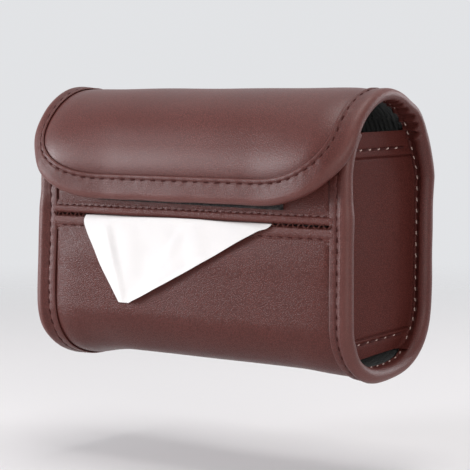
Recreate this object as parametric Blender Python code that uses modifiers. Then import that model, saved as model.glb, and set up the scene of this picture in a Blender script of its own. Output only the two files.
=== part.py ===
"""Car tissue holder: a lined leather pouch with a fold-over flap and two hanging straps.

Metres, +Z up, the front faces -Y. The origin lies on the outer leather of the back,
midway between the two straps, at half the pouch's height.
"""

import math

import bmesh
import bpy
import numpy as np
from mathutils import Matrix, Vector

# Overall size of the closed pouch, over its bound edges
POUCH_WIDTH = 0.210
POUCH_HEIGHT = 0.155
POUCH_DEPTH = 0.086
BOTTOM_RISE = 0.0380
ARCH_RISE = 0.0478

# Distances below the top of the leather, and above its underside
HINGE_DROP = 0.0184
MOUTH_DROP = 0.0219
SLOT_DROP = 0.0707
FLAP_EDGE_DROP = 0.0604
GUSSET_DROP = 0.0229
GUSSET_RISE = 0.0099

# Thickness of each layer, and the clearance between two layers
LEATHER = 0.0010
BOARD = 0.0020
FLAP_BOARD = 0.0012
LINING = 0.0005
EDGE_LEATHER = 0.0008
FIT_GAP = 0.0003
EDGE_GAP = 0.0006

# Visible widths of the bound edges
POUCH_BORDER = 0.0134
MOUTH_BORDER = 0.0090
SLOT_BORDER = 0.0055
FLAP_SIDE_BORDER = 0.0120
FLAP_FRONT_BORDER = 0.0135
HINGE_RELIEF = 0.0030

# Slot in the front for the tissue
SLOT_GAP = 0.0020

# Flap outline, and how its sides curl back in front
FLAP_OVERHANG = 0.0030
CORNER_WIDTH = 0.058
CORNER_HEIGHT = 0.042
CORNER_POWER = 2.3
CURL = 0.0031
CURL_WIDTH = 0.0240
FLAT_SHARE = 0.78

# Gussets that close the two ends
GUSSET_INSET = 0.0130
FLANGE_WIDTH = 0.0105

# Hook and loop closure
LOOP_STRIP_LENGTH = 0.132
LOOP_STRIP_WIDTH = 0.032
LOOP_STRIP_DROP = 0.0636
LOOP_THICKNESS = 0.0024
HOOK_STRIP_LENGTH = 0.120
HOOK_STRIP_WIDTH = 0.016
HOOK_THICKNESS = 0.0024
HOOK_MARGIN = 0.0008

# Tissue pack and the sheet pulled from it
PACK_END_ROOM = 0.0019
PACK_SIDE_ROOM = 0.0088
PACK_DROP = 0.0324
PACK_ROUND = 0.0070
SHEET_THICKNESS = 0.0004
SHEET_LEFT = -0.0709
SHEET_RIGHT = 0.0577
SHEET_DROP = 0.0476
SHEET_TIP_LEFT = -0.0455
SHEET_TIP_RIGHT = -0.0372
SHEET_PACK_HALF = 0.0400
SHEET_BEND = 0.0018
SHEET_FOLD = 0.0009
SHEET_FOLD_COUNT = 3
SHEET_SIDE_POWER = 1.5

# Hanging straps
STRAP_SPACING = 0.110
STRAP_WIDTH = 0.025
STRAP_THICKNESS = 0.0024
STRAP_FOLD_DROP = 0.0494
STRAP_RAMP = 0.0140
STRAP_DIP_ABOVE_SNAP = 0.0160
STRAP_END_BELOW_SNAP = 0.0100
STRAP_DIP = 0.0080
STRAP_CORNER = 0.0070
STRAP_SWING_DEGREES = 120
ANCHOR_LENGTH = 0.0180
ANCHOR_THICKNESS = 0.0012

# Snap fasteners, a little above the foot of the flat back
SNAP_RISE = 0.0024
SHANK_RADIUS = 0.0015
SHANK_CLEARANCE = 0.0003
POST_FLANGE_RADIUS = 0.0050
POST_FLANGE = 0.0008
STUD_BASE_RADIUS = 0.0052
STUD_BASE = 0.0008
STUD_RADIUS = 0.0026
STUD_NECK_RADIUS = 0.0023
STUD_LENGTH = 0.0025
STUD_ROOF = 0.0005
SOCKET_RADIUS = 0.0059
SOCKET_WALL_CLEARANCE = 0.0005
SOCKET_HEIGHT = 0.0036
SOCKET_BACK = 0.0007
CAP_RADIUS = 0.0062
CAP_RIM = 0.0004
CAP_DOME = 0.0015
METAL_ROUND = 0.0004

# Steps in curved stretches, and the least room between two rows
BOTTOM_STEPS = 20
ARCH_STEPS = 12
MOUTH_STEPS = 5
CORNER_STEPS = 10
CURL_STEPS = 5
FOLD_STEPS = 6
CROOK_STEPS = 2
SHEET_COLUMNS = 12
TURN_STEPS = 16
FINE_STEPS = 12
ROW_ROOM = 0.0003
CUT_OVERRUN = 0.0020

# Worked out from the values above
BINDING_PROUD = FIT_GAP + EDGE_LEATHER
BODY_DEPTH = POUCH_DEPTH - 2 * BINDING_PROUD
HALF_HEIGHT = POUCH_HEIGHT / 2 - BINDING_PROUD
MIDDLE_Y = -BODY_DEPTH / 2
ARCH_FOOT = HALF_HEIGHT - ARCH_RISE
BOTTOM_FOOT = BOTTOM_RISE - HALF_HEIGHT
BOARD_INNER = LEATHER + FIT_GAP + BOARD
POUCH_WALL = BOARD_INNER + FIT_GAP + LINING
SIDE_WALL = BOARD_INNER + FIT_GAP + LEATHER
FLAP_WALL = LEATHER + FIT_GAP + FLAP_BOARD + FIT_GAP + LINING
STRIP_SPACE = 3 * FIT_GAP + LOOP_THICKNESS + HOOK_THICKNESS
FLAP_STANDOFF = STRIP_SPACE + FLAP_WALL
FLAP_HALF = POUCH_WIDTH / 2 + FLAP_OVERHANG
GUSSET_OUTER = POUCH_WIDTH / 2 - GUSSET_INSET
GUSSET_INNER = GUSSET_OUTER - LEATHER
LINING_HALF = GUSSET_INNER - FIT_GAP
INSIDE_HALF = LINING_HALF - LINING - FIT_GAP
PACK_WIDTH = 2 * (INSIDE_HALF - PACK_END_ROOM)
PACK_DEPTH = BODY_DEPTH - 2 * (POUCH_WALL + PACK_SIDE_ROOM)

# Heights above or below the middle of the pouch
HINGE_HEIGHT = HALF_HEIGHT - HINGE_DROP
MOUTH_HEIGHT = HALF_HEIGHT - MOUTH_DROP
SLOT_HEIGHT = HALF_HEIGHT - SLOT_DROP
FLAP_EDGE_HEIGHT = HALF_HEIGHT - FLAP_EDGE_DROP
GUSSET_TOP = HALF_HEIGHT - GUSSET_DROP
GUSSET_BOTTOM = GUSSET_RISE - HALF_HEIGHT
LOOP_STRIP_LOW = HALF_HEIGHT - LOOP_STRIP_DROP
PACK_TOP = HALF_HEIGHT - PACK_DROP
SNAP_HEIGHT = BOTTOM_FOOT + SNAP_RISE
STRAP_HINGE_HEIGHT = HALF_HEIGHT - STRAP_FOLD_DROP
STRAP_DIP_START = SNAP_HEIGHT + STRAP_DIP_ABOVE_SNAP
STRAP_END_HEIGHT = SNAP_HEIGHT - STRAP_END_BELOW_SNAP


class Profile:
    """A side view curve walked by its length, with the outward direction at each place."""

    def __init__(self, stretches):
        points = []
        outward = []
        row_index = []
        for curve_points, curve_outward, steps in stretches:
            stride = max((len(curve_points) - 1) // steps, 1)
            row_index += [len(points) + index for index in range(0, len(curve_points), stride)]
            points += curve_points
            outward += curve_outward
        self.points = np.array(points)
        self.outward = np.array(outward)
        gaps = np.linalg.norm(np.diff(self.points, axis=0), axis=1)
        self.lengths = np.concatenate(([0.0], np.cumsum(gaps)))
        self.rows = sorted({round(float(self.lengths[index]), 7) for index in row_index})
        self.end = float(self.lengths[-1])

    def place(self, length, height=0.0):
        """The (y, z) point at a length along the curve, raised outward by a height."""
        y = np.interp(length, self.lengths, self.points[:, 0])
        z = np.interp(length, self.lengths, self.points[:, 1])
        out_y = np.interp(length, self.lengths, self.outward[:, 0])
        out_z = np.interp(length, self.lengths, self.outward[:, 1])
        size = math.hypot(out_y, out_z)
        return y + height * out_y / size, z + height * out_z / size

    def rows_between(self, start, end):
        """The curve's own rows that lie between two lengths, with the two lengths."""
        inner = [row for row in self.rows if start + ROW_ROOM < row < end - ROW_ROOM]
        return [start] + inner + [end]

    def curl(self, x, length):
        """How far the walls curl back at a place; the pouch's own don't."""
        return 0.0

    def length_at(self, z, front, height=0.0):
        """The length where the raised curve has a given z, on its front or its back half."""
        raised = self.points + self.outward * height
        half = raised[:, 0] < MIDDLE_Y if front else raised[:, 0] >= MIDDLE_Y
        order = np.argsort(raised[half, 1])
        return float(np.interp(z, raised[half, 1][order], self.lengths[half][order]))


class FlapProfile(Profile):
    """The flap's curve, whose two sides curl back more and more from the top to the front."""

    def curl(self, x, length):
        """How far the flap lies behind its middle at a place."""
        across = eased_share((abs(x) - FLAP_HALF + CURL_WIDTH) / CURL_WIDTH)
        crest = self.lengths[np.argmax(self.points[:, 1])]
        shoulder = self.length_at(ARCH_FOOT, True)
        return CURL * across * eased_share((length - crest) / (shoulder - crest))


def eased_share(share):
    """A share kept between 0 and 1 that leaves 0 and reaches 1 smoothly."""
    kept = min(max(share, 0.0), 1.0)
    return kept * kept * (3 - 2 * kept)


def arc_stretch(reach, foot, rise, start, end, steps):
    """Points and outward directions of an ellipse's arc about the pouch's middle plane."""
    points = []
    outward = []
    for angle in np.linspace(math.radians(start), math.radians(end), steps * FINE_STEPS + 1):
        points.append((MIDDLE_Y + reach * math.cos(angle), foot + rise * math.sin(angle)))
        direction = Vector((math.cos(angle) / reach, math.sin(angle) / rise)).normalized()
        outward.append((direction.x, direction.y))
    return points, outward, steps


def pouch_profile():
    """The outer leather from the mouth down the front, under the bottom and up to the hinge."""
    reach = BODY_DEPTH / 2
    front_rise = ARCH_RISE - FLAP_STANDOFF
    mouth_angle = math.degrees(math.asin((MOUTH_HEIGHT - ARCH_FOOT) / front_rise))
    hinge_angle = math.degrees(math.asin((HINGE_HEIGHT - ARCH_FOOT) / ARCH_RISE))
    return Profile([
        arc_stretch(reach, ARCH_FOOT, front_rise, 180 - mouth_angle, 180, MOUTH_STEPS),
        arc_stretch(reach, BOTTOM_FOOT, BOTTOM_RISE, 180, 360, BOTTOM_STEPS),
        arc_stretch(reach, ARCH_FOOT, ARCH_RISE, 0, hinge_angle, MOUTH_STEPS),
    ])


def flap_profile():
    """The flap's outer leather from the hinge over the top and down to its front edge."""
    reach = BODY_DEPTH / 2
    front_reach = reach + FLAP_STANDOFF
    hinge_angle = math.degrees(math.asin((HINGE_HEIGHT - ARCH_FOOT) / ARCH_RISE))
    front_edge = [(MIDDLE_Y - front_reach, FLAP_EDGE_HEIGHT)], [(-1.0, 0.0)], 1
    rear = arc_stretch(reach, ARCH_FOOT, ARCH_RISE, hinge_angle, 90, ARCH_STEPS)
    front = arc_stretch(front_reach, ARCH_FOOT, ARCH_RISE, 90, 180, ARCH_STEPS)
    return FlapProfile([rear, front, front_edge])


def setback(wall):
    """How far a wall's layers stay inside the outer line of the rounded edge that binds them."""
    inner_radius = wall / 2 + FIT_GAP
    reach = math.sqrt(inner_radius ** 2 - (wall / 2) ** 2)
    return inner_radius + EDGE_LEATHER - reach + EDGE_GAP


def make_material(name, colour, roughness, metallic=0.0):
    """A plain Principled material."""
    material = bpy.data.materials.new(name)
    material.use_nodes = True
    shader = material.node_tree.nodes["Principled BSDF"]
    shader.inputs["Base Color"].default_value = (*colour, 1.0)
    shader.inputs["Roughness"].default_value = roughness
    shader.inputs["Metallic"].default_value = metallic
    return material


def link(name, mesh, collection, material=None):
    """An object made from a mesh, in a collection and with its own copy of a material."""
    piece = bpy.data.objects.new(name, mesh)
    collection.objects.link(piece)
    if material is not None:
        own = material.copy()
        own.name = name
        mesh.materials.append(own)
    return piece


def sheet_from_grid(name, grid, thickness, collection, material):
    """A soft sheet of even thickness about a grid of points, rows of equal length."""
    mesh = bpy.data.meshes.new(name)
    builder = bmesh.new()
    rows = [[builder.verts.new(point) for point in row] for row in grid]
    for row, following in zip(rows, rows[1:]):
        for column in range(len(row) - 1):
            corners = (row[column], row[column + 1], following[column + 1], following[column])
            builder.faces.new(corners)
    builder.to_mesh(mesh)
    builder.free()
    mesh.shade_smooth()
    piece = link(name, mesh, collection, material)
    solidify = piece.modifiers.new("thickness", "SOLIDIFY")
    solidify.thickness = thickness
    solidify.offset = 0.0
    solidify.use_even_offset = True
    return piece


def layer(name, profile, start, end, half_width, depth, thickness, collection, material):
    """A layer that follows the profile, its outer face at a depth below the outer leather."""
    grid = []
    for length in profile.rows_between(start, end):
        y, z = profile.place(length, -depth - thickness / 2)
        grid.append([(-half_width, y, z), (half_width, y, z)])
    return sheet_from_grid(name, grid, thickness, collection, material)


def folded_strip(outer_border, inner_border, wall, legs):
    """Middle line of a strip folded over an edge, as (inset, height) from its outer line."""
    radius = wall / 2 + FIT_GAP + EDGE_LEATHER / 2
    centre = radius + EDGE_LEATHER / 2
    section = []
    for inset in np.linspace(outer_border, centre, legs + 1)[:-1]:
        section.append((inset, radius - wall / 2))
    for angle in np.linspace(0, math.pi, FOLD_STEPS + 1):
        section.append((centre - radius * math.sin(angle), radius * math.cos(angle) - wall / 2))
    for inset in np.linspace(centre, inner_border, legs + 1)[1:]:
        section.append((inset, -radius - wall / 2))
    return section


def bound_edge(name, profile, outline, wall, inner_border, legs, collection, material):
    """A strip folded over an edge; the outline gives (x, length, inward x, inward length, border)."""
    grid = []
    for x, length, inward_x, inward_length, border in outline:
        row = []
        for inset, height in folded_strip(border, min(border, inner_border), wall, legs):
            across = x + inset * inward_x
            along = length + inset * inward_length
            row.append((across, *profile.place(along, height - profile.curl(across, along))))
        grid.append(row)
    return sheet_from_grid(name, grid, EDGE_LEATHER, collection, material)


def flap_outline(profile):
    """Half of the flap's outer line, hinge to front middle: x, length, outward x and length."""
    corner_start = profile.end - CORNER_HEIGHT
    line = []
    for length in profile.rows_between(HINGE_RELIEF, corner_start)[:-1]:
        line.append((FLAP_HALF, length, 1.0, 0.0))
    for angle in np.linspace(0, math.pi / 2, CORNER_STEPS + 1):
        across = max(math.cos(angle), 0.0) ** (2 / CORNER_POWER)
        along = max(math.sin(angle), 0.0) ** (2 / CORNER_POWER)
        x = FLAP_HALF - CORNER_WIDTH * (1 - across)
        length = corner_start + CORNER_HEIGHT * along
        direction = Vector((across ** (CORNER_POWER - 1) / CORNER_WIDTH,
                            along ** (CORNER_POWER - 1) / CORNER_HEIGHT)).normalized()
        line.append((x, length, direction.x, direction.y))
    return line


def flap_layer(name, profile, outline, start, depth, thickness, collection, material):
    """One layer of the flap, inside its bound edge."""
    inset = setback(FLAP_WALL)
    rows = [(FLAP_HALF - inset, start)]
    for x, length, out_x, out_length in outline:
        if length > start + ROW_ROOM:
            rows.append((x - inset * out_x, length - inset * out_length))
    grid = []
    for half, length in rows:
        row = []
        curled = list(np.linspace(half * FLAT_SHARE, half, CURL_STEPS + 1))
        for x in [-x for x in reversed(curled)] + curled:
            height = -depth - thickness / 2 - profile.curl(x, length)
            row.append((x, *profile.place(length, height)))
        grid.append(row)
    return sheet_from_grid(name, grid, thickness, collection, material)


def gusset(name, profile, side, collection, material):
    """End panel with its two flanges, which lie on the boards under the bound edge."""
    depth = -(BOARD_INNER + FIT_GAP + LEATHER / 2)
    plate = side * (GUSSET_OUTER - LEATHER / 2)
    flange = side * (GUSSET_OUTER - LEATHER / 2 + FLANGE_WIDTH)
    grid = []
    for z in gusset_heights(GUSSET_BOTTOM, GUSSET_TOP):
        front = profile.place(profile.length_at(z, True, depth), depth)
        back = profile.place(profile.length_at(z, False, depth), depth)
        grid.append([(flange, *front), (plate, *front), (plate, *back), (flange, *back)])
    return sheet_from_grid(name, grid, LEATHER, collection, material)


def gusset_heights(low, high):
    """Heights of a gusset's rows, closer together where the ends are rounded."""
    bottom = BOTTOM_FOOT - (BOTTOM_FOOT - low) * np.sin(np.linspace(math.pi / 2, 0, FINE_STEPS))
    top = ARCH_FOOT + (high - ARCH_FOOT) * np.linspace(0, 1, MOUTH_STEPS + 1)
    return list(bottom) + list(top)


def gusset_lining(name, profile, side, collection, material):
    """Lining on the inner face of a gusset, clear of the lining of the wall."""
    depth = -(POUCH_WALL + FIT_GAP)
    x = side * (LINING_HALF - LINING / 2)
    grid = []
    for z in gusset_heights(GUSSET_BOTTOM + POUCH_WALL, GUSSET_TOP - FIT_GAP):
        front = profile.place(profile.length_at(z, True, depth), depth)
        back = profile.place(profile.length_at(z, False, depth), depth)
        grid.append([(x, *front), (x, *back)])
    return sheet_from_grid(name, grid, LINING, collection, material)


def pack_floor():
    """Height of the pack's underside when its rounded edges rest on the curved lining."""
    reach = BODY_DEPTH / 2 - POUCH_WALL
    drop = BOTTOM_RISE - POUCH_WALL
    lowest = -HALF_HEIGHT
    for angle in np.linspace(0, math.pi / 2, FINE_STEPS + 1):
        across = PACK_DEPTH / 2 - PACK_ROUND * (1 - math.cos(angle))
        lining = BOTTOM_FOOT - drop * math.sqrt(1 - (across / reach) ** 2)
        lowest = max(lowest, lining + FIT_GAP - PACK_ROUND * (1 - math.sin(angle)))
    return lowest + FIT_GAP


def tissue_pack(collection, material):
    """The soft pack of folded tissues inside the pouch."""
    mesh = bpy.data.meshes.new("tissue_pack")
    floor = pack_floor()
    builder = bmesh.new()
    bmesh.ops.create_cube(builder, size=1.0)
    size = Vector((PACK_WIDTH, PACK_DEPTH, PACK_TOP - floor))
    bmesh.ops.scale(builder, vec=size, verts=builder.verts)
    middle = Vector((0.0, MIDDLE_Y, (PACK_TOP + floor) / 2))
    bmesh.ops.translate(builder, vec=middle, verts=builder.verts)
    builder.to_mesh(mesh)
    builder.free()
    mesh.shade_smooth()
    piece = link("tissue_pack", mesh, collection, material)
    bevel = piece.modifiers.new("soft edges", "BEVEL")
    bevel.width = PACK_ROUND
    bevel.segments = 4
    bevel.limit_method = "NONE"
    return piece


def tissue_sheet(collection, material):
    """The sheet that leaves the pack, passes the slot and hangs down the front to a point."""
    pack_front = MIDDLE_Y - PACK_DEPTH / 2 - FIT_GAP - SHEET_THICKNESS / 2
    lip_front = -BODY_DEPTH - BINDING_PROUD - FIT_GAP
    rows = []
    for share in np.linspace(0, 1, CROOK_STEPS + 1):
        y = pack_front + (lip_front - pack_front) * share
        left = -SHEET_PACK_HALF + (SHEET_LEFT + SHEET_PACK_HALF) * share
        right = SHEET_PACK_HALF + (SHEET_RIGHT - SHEET_PACK_HALF) * share
        rows.append((left, right, y, SLOT_HEIGHT, 0.0))
    for angle in np.linspace(0, math.pi / 2, FOLD_STEPS)[1:]:
        y = lip_front - SHEET_BEND * math.sin(angle)
        z = SLOT_HEIGHT - SHEET_BEND * (1 - math.cos(angle))
        rows.append((SHEET_LEFT, SHEET_RIGHT, y, z, 0.0))
    for share in np.linspace(0, 1, FINE_STEPS)[1:]:
        left = SHEET_LEFT + (SHEET_TIP_LEFT - SHEET_LEFT) * share ** SHEET_SIDE_POWER
        right = SHEET_RIGHT + (SHEET_TIP_RIGHT - SHEET_RIGHT) * share
        z = SLOT_HEIGHT - SHEET_BEND - (SHEET_DROP - SHEET_BEND) * share
        rows.append((left, right, lip_front - SHEET_BEND, z, share))
    grid = []
    for left, right, y, z, share in rows:
        row = []
        for across in np.linspace(0, 1, SHEET_COLUMNS + 1):
            swell = 4 * share * (1 - share)
            wave = SHEET_FOLD * swell * math.sin(SHEET_FOLD_COUNT * math.pi * across)
            row.append((left + (right - left) * across, y - wave, z))
        grid.append(row)
    return sheet_from_grid("tissue_sheet", grid, SHEET_THICKNESS, collection, material)


def turned(name, outline, x, collection, material):
    """A turned metal piece; the outline gives (radius, distance behind the back)."""
    mesh = bpy.data.meshes.new(name)
    builder = bmesh.new()
    corners = [builder.verts.new((radius, 0.0, along)) for radius, along in outline]
    for first, second in zip(corners, corners[1:]):
        builder.edges.new((first, second))
    if outline[0][0] > 0:
        builder.edges.new((corners[-1], corners[0]))
    builder.to_mesh(mesh)
    builder.free()
    piece = link(name, mesh, collection, material)
    piece.location = (x, 0.0, SNAP_HEIGHT)
    piece.rotation_euler = (-math.pi / 2, 0.0, 0.0)
    screw = piece.modifiers.new("turn", "SCREW")
    screw.axis = "Z"
    screw.angle = 2 * math.pi
    screw.steps = TURN_STEPS
    screw.render_steps = TURN_STEPS
    screw.use_merge_vertices = True
    screw.merge_threshold = 0.00001
    screw.use_smooth_shade = True
    return piece


def snap_heights():
    """Distances behind the back of the faces that the snap's parts share."""
    stud_base = FIT_GAP + STUD_BASE
    stud_top = stud_base + STUD_LENGTH
    socket_rim = stud_base + FIT_GAP
    socket_back = socket_rim + SOCKET_HEIGHT
    strap_inner = socket_back + FIT_GAP
    cap_base = strap_inner + STRAP_THICKNESS + FIT_GAP
    return stud_base, stud_top, socket_rim, socket_back, strap_inner, cap_base


def post_outline():
    """Rivet flange inside the pouch with its shank through the wall into the stud."""
    stud_base, stud_top = snap_heights()[:2]
    inner = -POUCH_WALL - FIT_GAP
    tip = stud_top - STUD_ROOF - FIT_GAP
    rim = POST_FLANGE_RADIUS
    return [(0.0, tip), (SHANK_RADIUS, tip), (SHANK_RADIUS, inner), (rim, inner),
            (rim, inner - POST_FLANGE / 2), (rim - METAL_ROUND, inner - POST_FLANGE),
            (0.0, inner - POST_FLANGE)]


def stud_outline():
    """Stud on the outside of the back, bored for the post."""
    stud_base, stud_top = snap_heights()[:2]
    bore = SHANK_RADIUS + SHANK_CLEARANCE
    return [(0.0, stud_top), (STUD_RADIUS - METAL_ROUND, stud_top),
            (STUD_RADIUS, stud_top - METAL_ROUND), (STUD_NECK_RADIUS, stud_top - STUD_LENGTH / 2),
            (STUD_NECK_RADIUS, stud_base), (STUD_BASE_RADIUS, stud_base),
            (STUD_BASE_RADIUS, FIT_GAP), (bore, FIT_GAP), (bore, stud_top - STUD_ROOF),
            (0.0, stud_top - STUD_ROOF)]


def socket_outline():
    """Socket on the strap's inner face, a cup round the stud with a hole in its back."""
    socket_rim, socket_back = snap_heights()[2:4]
    hole = SHANK_RADIUS + SHANK_CLEARANCE
    cup = STUD_RADIUS + SOCKET_WALL_CLEARANCE
    return [(hole, socket_back), (SOCKET_RADIUS - METAL_ROUND, socket_back),
            (SOCKET_RADIUS, socket_back - METAL_ROUND), (SOCKET_RADIUS, socket_rim + METAL_ROUND),
            (SOCKET_RADIUS - METAL_ROUND, socket_rim), (cup, socket_rim),
            (cup, socket_back - SOCKET_BACK), (hole, socket_back - SOCKET_BACK)]


def cap_outline():
    """Domed cap on the strap's outer face with its shank through the strap."""
    socket_back, base = snap_heights()[3], snap_heights()[5]
    tip = socket_back - SOCKET_BACK
    outline = []
    for angle in np.linspace(0, math.pi / 2, FOLD_STEPS + 1):
        rise = base + CAP_RIM + CAP_DOME * math.cos(angle)
        outline.append((CAP_RADIUS * math.sin(angle), rise))
    return outline + [(CAP_RADIUS, base), (SHANK_RADIUS, base), (SHANK_RADIUS, tip), (0.0, tip)]


def eased(start, end, steps):
    """Values that leave the start and reach the end smoothly."""
    shares = np.linspace(0, 1, steps + 1)
    return [start + (end - start) * eased_share(share) for share in shares]


def strap_line():
    """Middle line of a strap from its fold to its free end: (y, z, half width)."""
    fold_y = FIT_GAP + STRAP_THICKNESS / 2
    snapped_y = snap_heights()[4] + STRAP_THICKNESS / 2
    free_y = snap_heights()[5] + CAP_RIM + CAP_DOME + FIT_GAP - STRAP_THICKNESS / 2
    half = STRAP_WIDTH / 2
    line = []
    for top, drop, ramp in (
        (STRAP_HINGE_HEIGHT, STRAP_RAMP, eased(fold_y, free_y, FOLD_STEPS)),
        (STRAP_DIP_START, STRAP_DIP, eased(free_y, snapped_y, FOLD_STEPS)),
    ):
        for step, y in enumerate(ramp):
            line.append((y, top - drop * step / FOLD_STEPS, half))
    for angle in np.linspace(0, math.pi / 2, FOLD_STEPS + 1):
        z = STRAP_END_HEIGHT + STRAP_CORNER * (1 - math.sin(angle))
        line.append((snapped_y, z, half - STRAP_CORNER * (1 - math.cos(angle))))
    return line


def strap(name, x, collection, material):
    """A hanging strap, folded at its sewn top and snapped at its lower end."""
    grid = [[(x - half, y, z), (x + half, y, z)] for y, z, half in strap_line()]
    return sheet_from_grid(name, grid, STRAP_THICKNESS, collection, material)


def strap_anchor(name, profile, x, collection, material):
    """The strap's sewn end on the back, just above the fold."""
    swing = math.radians(STRAP_SWING_DEGREES - 90)
    low = STRAP_HINGE_HEIGHT + STRAP_THICKNESS / 2 / math.cos(swing) + FIT_GAP
    start = profile.length_at(low, False)
    middle = FIT_GAP + ANCHOR_THICKNESS / 2
    grid = []
    for length in profile.rows_between(start, start + ANCHOR_LENGTH):
        y, z = profile.place(length, middle)
        grid.append([(x - STRAP_WIDTH / 2, y, z), (x + STRAP_WIDTH / 2, y, z)])
    return sheet_from_grid(name, grid, ANCHOR_THICKNESS, collection, material)


def shank_cutter(x, collection):
    """A cylinder that makes the clearance hole for one snap's shanks."""
    inner = -POUCH_WALL - CUT_OVERRUN
    outer = snap_heights()[4] + STRAP_THICKNESS + CUT_OVERRUN
    bpy.ops.mesh.primitive_cylinder_add(vertices=TURN_STEPS, radius=SHANK_RADIUS + SHANK_CLEARANCE,
                                        depth=outer - inner, rotation=(math.pi / 2, 0.0, 0.0),
                                        location=(x, (inner + outer) / 2, SNAP_HEIGHT))
    cutter = bpy.context.object
    cutter.name = "shank_hole"
    cutter.hide_render = True
    cutter.display_type = "WIRE"
    for holder in list(cutter.users_collection):
        holder.objects.unlink(cutter)
    collection.objects.link(cutter)
    return cutter


def cut(piece, cutters):
    """Take the cutters' shapes out of a piece."""
    for cutter in cutters:
        hole = piece.modifiers.new("hole", "BOOLEAN")
        hole.operation = "DIFFERENCE"
        hole.object = cutter


def hang_from(pieces, name, pivot, collection):
    """Parent the pieces to an empty on their joint's axis."""
    axis = bpy.data.objects.new(name, None)
    axis.location = pivot
    collection.objects.link(axis)
    for piece in pieces:
        piece.parent = axis
        piece.matrix_parent_inverse = Matrix.Translation(pivot).inverted()


def pouch_walls(profile, parts, leather, board, lining):
    """The wrap round the front, bottom and back, and the upper front panel above the slot."""
    edge = setback(POUCH_WALL)
    half = POUCH_WIDTH / 2 - setback(SIDE_WALL)
    slot_top = profile.length_at(SLOT_HEIGHT + SLOT_GAP / 2, True)
    slot_bottom = profile.length_at(SLOT_HEIGHT - SLOT_GAP / 2, True)
    fold = profile.end - FIT_GAP / 2
    board_end = profile.end - HINGE_RELIEF
    lining_depth = BOARD_INNER + FIT_GAP
    board_depth = LEATHER + FIT_GAP
    low = slot_bottom + edge
    wraps = [
        layer("outer_wrap", profile, low, fold, half, 0.0, LEATHER, parts, leather),
        layer("wrap_stiffener", profile, low, board_end, half, board_depth, BOARD, parts, board),
        layer("wrap_lining", profile, low, fold, LINING_HALF, lining_depth, LINING, parts, lining),
    ]
    high = slot_top - edge
    layer("upper_front_panel", profile, edge, high, half, 0.0, LEATHER, parts, leather)
    layer("upper_front_stiffener", profile, edge, high, half, board_depth, BOARD, parts, board)
    layer("upper_front_lining", profile, edge, high, LINING_HALF, lining_depth, LINING,
          parts, lining)
    for name, start, toward, border in (
        ("mouth_binding", 0.0, 1.0, MOUTH_BORDER),
        ("upper_slot_binding", slot_top, -1.0, SLOT_BORDER),
        ("lower_slot_binding", slot_bottom, 1.0, SLOT_BORDER),
    ):
        outline = [(x, start, 0.0, toward, border) for x in (-INSIDE_HALF, INSIDE_HALF)]
        bound_edge(name, profile, outline, POUCH_WALL, border, 1, parts, leather)
    return wraps


def pouch_ends(profile, parts, leather, lining):
    """The gussets, their linings and the bound edges at the two ends."""
    for side, word in ((-1, "left"), (1, "right")):
        gusset(f"gusset_{word}", profile, side, parts, leather)
        gusset_lining(f"gusset_lining_{word}", profile, side, parts, lining)
        outline = []
        for length in profile.rows_between(0.0, profile.end - HINGE_RELIEF):
            outline.append((side * POUCH_WIDTH / 2, length, -side, 0.0, POUCH_BORDER))
        inner = GUSSET_INSET - FIT_GAP
        bound_edge(f"pouch_binding_{word}", profile, outline, SIDE_WALL, inner, 1, parts, leather)


def flap(profile, parts, leather, board, lining, strip):
    """The flap: cover, board, lining, bound edge and hook strip."""
    outline = flap_outline(profile)
    board_depth = LEATHER + FIT_GAP
    lining_depth = board_depth + FLAP_BOARD + FIT_GAP
    fold = FIT_GAP / 2
    pieces = [
        flap_layer("flap_cover", profile, outline, fold, 0.0, LEATHER, parts, leather),
        flap_layer("flap_stiffener", profile, outline, HINGE_RELIEF, board_depth, FLAP_BOARD,
                   parts, board),
        flap_layer("flap_lining", profile, outline, fold, lining_depth, LINING, parts, lining),
    ]
    edge = []
    for side, order in ((-1, outline), (1, outline[::-1])):
        for x, length, out_x, out_length in order:
            border = FLAP_SIDE_BORDER + (FLAP_FRONT_BORDER - FLAP_SIDE_BORDER) * out_length ** 2
            edge.append((side * x, length, -side * out_x, -out_length, border))
    pieces.append(bound_edge("flap_binding", profile, edge, FLAP_WALL, FLAP_FRONT_BORDER,
                             CROOK_STEPS, parts, leather))
    end = profile.end - FLAP_FRONT_BORDER - HOOK_MARGIN
    pieces.append(layer("closure_hook_strip", profile, end - HOOK_STRIP_WIDTH, end,
                        HOOK_STRIP_LENGTH / 2, FLAP_WALL + FIT_GAP, HOOK_THICKNESS, parts, strip))
    return pieces


def closure_loop_strip(profile, parts, strip):
    """The loop strip on the upper front panel, facing the flap's hook strip."""
    end = profile.length_at(LOOP_STRIP_LOW, True)
    depth = -(FIT_GAP + LOOP_THICKNESS)
    layer("closure_loop_strip", profile, end - LOOP_STRIP_WIDTH, end, LOOP_STRIP_LENGTH / 2,
          depth, LOOP_THICKNESS, parts, strip)


def hanging_straps(profile, parts, cutters, leather, metal):
    """Both straps with their sewn ends and snap fasteners; returns the shank cutters."""
    holes = []
    for side, word in ((-1, "left"), (1, "right")):
        x = side * STRAP_SPACING / 2
        hole = shank_cutter(x, cutters)
        holes.append(hole)
        strap_anchor(f"strap_anchor_{word}", profile, x, parts, leather)
        turned(f"snap_post_{word}", post_outline(), x, parts, metal)
        turned(f"snap_stud_{word}", stud_outline(), x, parts, metal)
        band = strap(f"strap_{word}", x, parts, leather)
        cut(band, [hole])
        moving = [
            band,
            turned(f"snap_socket_{word}", socket_outline(), x, parts, metal),
            turned(f"snap_cap_{word}", cap_outline(), x, parts, metal),
        ]
        pivot = Vector((x, FIT_GAP + STRAP_THICKNESS / 2, STRAP_HINGE_HEIGHT))
        hang_from(moving, f"strap_{word}_axis", pivot, parts)
    return holes


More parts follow.
